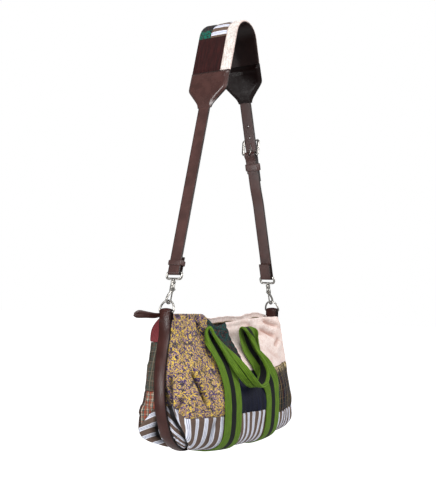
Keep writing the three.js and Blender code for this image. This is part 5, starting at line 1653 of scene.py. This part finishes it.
def join_wires(name, *parts):
    """One mesh of several wires and turned pieces."""
    points, faces, count = [], [], 0
    for part_points, part_faces in parts:
        points.append(part_points)
        faces += [[count + i for i in face] for face in part_faces]
        count += len(part_points)
    return finish_mesh(name, np.concatenate(points), faces)


NICKEL = polished_metal("nickel", linear(166, 163, 158), 0.26)


def buckle_frame(name):
    """A loop whose two bars are round and whose sides are flattened broad."""
    heel = strap_point(RIGHT_STRAP, heel_s, 0, heel_n)
    top = strap_point(RIGHT_STRAP, TOP_BAR[0], 0, TOP_BAR[1])
    up = unit(top - heel)
    high = np.linalg.norm(top - heel) / 2
    loop = smooth_path(round_box(BUCKLE_HALF, high, BUCKLE_CORNER), 96, True)
    centre = (heel + top) / 2 + loop[:, :1] * ACROSS + loop[:, 1:] * up
    forward = unit(np.roll(centre, -1, 0) - np.roll(centre, 1, 0))
    facing = np.tile(np.cross(ACROSS, up), (len(centre), 1))
    broad = ease(np.abs(loop[:, 0]), BUCKLE_HALF - SPREAD_IN, BUCKLE_HALF)
    wide = (BUCKLE_WIRE + BUCKLE_SPREAD * broad)[:, None]
    turn = np.linspace(0, 2 * math.pi, 17)[None, :-1]
    outlines = np.stack(np.broadcast_arrays(wide * np.cos(turn), BUCKLE_WIRE * np.sin(turn)), -1)
    return sweep_mesh(name, centre, np.cross(forward, facing), facing, outlines, closed=True)


place_piece("buckle_frame", buckle_frame("buckle_frame_metal"), NICKEL)
PRONG_RADIUS, PRONG_STATIONS = 1.5, 24
COLLAR_BEND, COLLAR_WIRE = 2.2, 0.8


def buckle_prong(name):
    """A tongue from the heel bar through its hole and over the top bar, with a collar round the heel bar."""
    top_s, top_n = TOP_BAR
    route = [(heel_s - 2.3, heel_n + 0.6), (BUCKLE_AT + 0.5, -0.4)]
    route += [(top_s + 1.9, top_n + 2.9), (top_s - 3, top_n + 3.4)]
    path = smooth_path([strap_point(RIGHT_STRAP, s, 0, n) for s, n in route], PRONG_STATIONS)
    radius = PRONG_RADIUS * np.sqrt(np.clip((1 - np.linspace(0, 1, PRONG_STATIONS)) * 9, 0.15, 1))
    around = turn_round(heel_s, heel_n, COLLAR_BEND, 0, 2 * math.pi, 17)[:-1]
    collar = [strap_point(RIGHT_STRAP, s, 0, n) for s, n in around]
    return join_wires(name, tube_points(path, radius), tube_points(collar, COLLAR_WIRE, 10, True))


place_piece("buckle_prong", buckle_prong("buckle_prong_metal"), NICKEL)

# Snap hooks and D-rings
# Each strap ends in a nickel-plated bolt snap: an oblong eye whose post turns in a barrel, and a bent hook
# below it that is shut by a sprung bolt with a thumb knob. The hook holds the D-ring of the end strip.
EYE_HALF_WIDE, EYE_CORNER, EYE_PLATING = 16.4, 4.2, 0.3
BARREL_FOOT, BOLT_TOP, KNOB_AT = 38.0, 44.5, 43.2
LOOP_CENTRE, HOOK_WIRE, HOOK_TIP = 21.6, 2.0, 1.0
# How much thicker the hook is at its root, and over what share of its length
HOOK_ROOT, ROOT_LONG = 0.25, 0.18
RING_HEIGHT, RING_HALF, RING_CORNER = 20.2, 15.6, 2.2
# Outlines of the turned post, barrel and bolt as radius and height, and of the knob as radius and reach
POST = [
    (0.01, 52.9), (2.6, 53.0), (2.6, 55.2), (1.6, 55.6), (1.6, 58.6), (2.5, 59.0), (2.5, 60.4), (1.9, 61.5),
    (0.01, 61.6),
]
BARREL = [
    (0.01, 37.2), (3.1, 37.3), (3.9, 38.2), (4.3, 39.4), (4.3, 44.0), (4.6, 44.6), (4.6, 46.2), (4.2, 46.8),
    (4.2, 54.0), (4.6, 54.6), (4.6, 56.4), (4.1, 57.4), (3.2, 58.0), (2.2, 58.0),
]
BOLT = [(0.01, LOOP_CENTRE + 1.35), (1.0, LOOP_CENTRE + 1.45), (1.3, LOOP_CENTRE + 1.9), (1.3, BOLT_TOP)]
KNOB = [
    (1.2, 0), (1.2, 1.0), (1.2, 2.6), (1.3, 3.4), (1.9, 3.9), (2.2, 4.6), (2.0, 5.4), (1.2, 5.9), (0.05, 6.1),
]
HOOK_STATIONS = 60


def clip_points(leg, places):
    """Points given outward, across and up from the D-ring's bar, on a leg."""
    places = np.asarray(places, float)
    here, up, out = strap_frame(leg, leg["ring"], EYE_N)
    side = np.cross(up, out)
    return here + places[:, :1] * out + places[:, 1:2] * side + places[:, 2:] * up


def turned_points(leg, profile, x=0.0, sides=20):
    """A turned piece about the leg's axis: radius and height of its outline."""
    path = np.array([(x, 0.0, up) for _, up in profile])
    return tube_points(clip_points(leg, path), [r for r, _ in profile], sides)


def eye_wires(leg):
    """An oblong eye and its turned post."""
    outline = round_box(EYE_HALF_WIDE, EYE_HALF_HIGH, EYE_CORNER, 8)
    ring = clip_points(leg, [(0, a, EYE_AT + b) for a, b in outline])
    return tube_points(ring, EYE_WIRE + EYE_PLATING, 14, True), turned_points(leg, POST)


def hook_wires(leg):
    """A turned barrel and the bent hook below it."""
    angles = np.linspace(-0.45, math.pi, 8)
    bend = [(1.6, 0, BARREL_FOOT + 3), (1.9, 0, BARREL_FOOT - 1), (6.4, 0, BARREL_FOOT - 7.5)]
    bend += [(RING_X + HOOK_BEND * math.cos(a), 0, LOOP_CENTRE - HOOK_BEND * math.sin(a)) for a in angles]
    bend += [(-BOLT_OFFSET, 0, LOOP_CENTRE + HOOK_TIP)]
    path = smooth_path(clip_points(leg, bend), HOOK_STATIONS)
    share = np.linspace(0, 1, HOOK_STATIONS)
    round_tip = np.sqrt(np.clip((1 - share) * 24, 0.3, 1))
    radius = HOOK_WIRE * (1 + HOOK_ROOT * bump(share, 0, ROOT_LONG)) * round_tip
    return turned_points(leg, BARREL), tube_points(path, radius)


def bolt_wires(leg):
    """A bolt and its thumb knob."""
    knob = clip_points(leg, [(-BOLT_OFFSET - out, 0, KNOB_AT) for _, out in KNOB])
    return turned_points(leg, BOLT, -BOLT_OFFSET, 14), tube_points(knob, [radius for radius, _ in KNOB])


def ring_wires(leg):
    """A D-ring with its straight bar at the foot."""
    turn = np.linspace(0, math.pi, 33)
    arch = [(RING_HALF * math.cos(a), RING_CORNER + (RING_HEIGHT - RING_CORNER) * math.sin(a)) for a in turn]
    corner = np.linspace(math.pi, 1.5 * math.pi, 6)[1:]
    straight_half = RING_HALF - RING_CORNER
    low_left = [(-straight_half + RING_CORNER * math.cos(a), RING_CORNER * (1 + math.sin(a))) for a in corner]
    low_right = [(-a, b) for a, b in low_left[::-1]]
    bar = [(k * straight_half, 0) for k in (-0.5, 0, 0.5)]
    outline = [(RING_X, a, b) for a, b in arch + low_left + bar + low_right]
    return (tube_points(clip_points(leg, outline), RING_WIRE, 14, True),)


for word, leg in (("left", LEFT_STRAP), ("right", RIGHT_STRAP)):
    for kind, wires, body in (("eye", eye_wires, "bag"), ("hook", hook_wires, "hook_" + word),
                              ("bolt", bolt_wires, "bolt_" + word), ("d_ring", ring_wires, "bag")):
        node = kind + "_" + word
        place_piece(node, join_wires(node + "_metal", *wires(leg)), NICKEL, body)
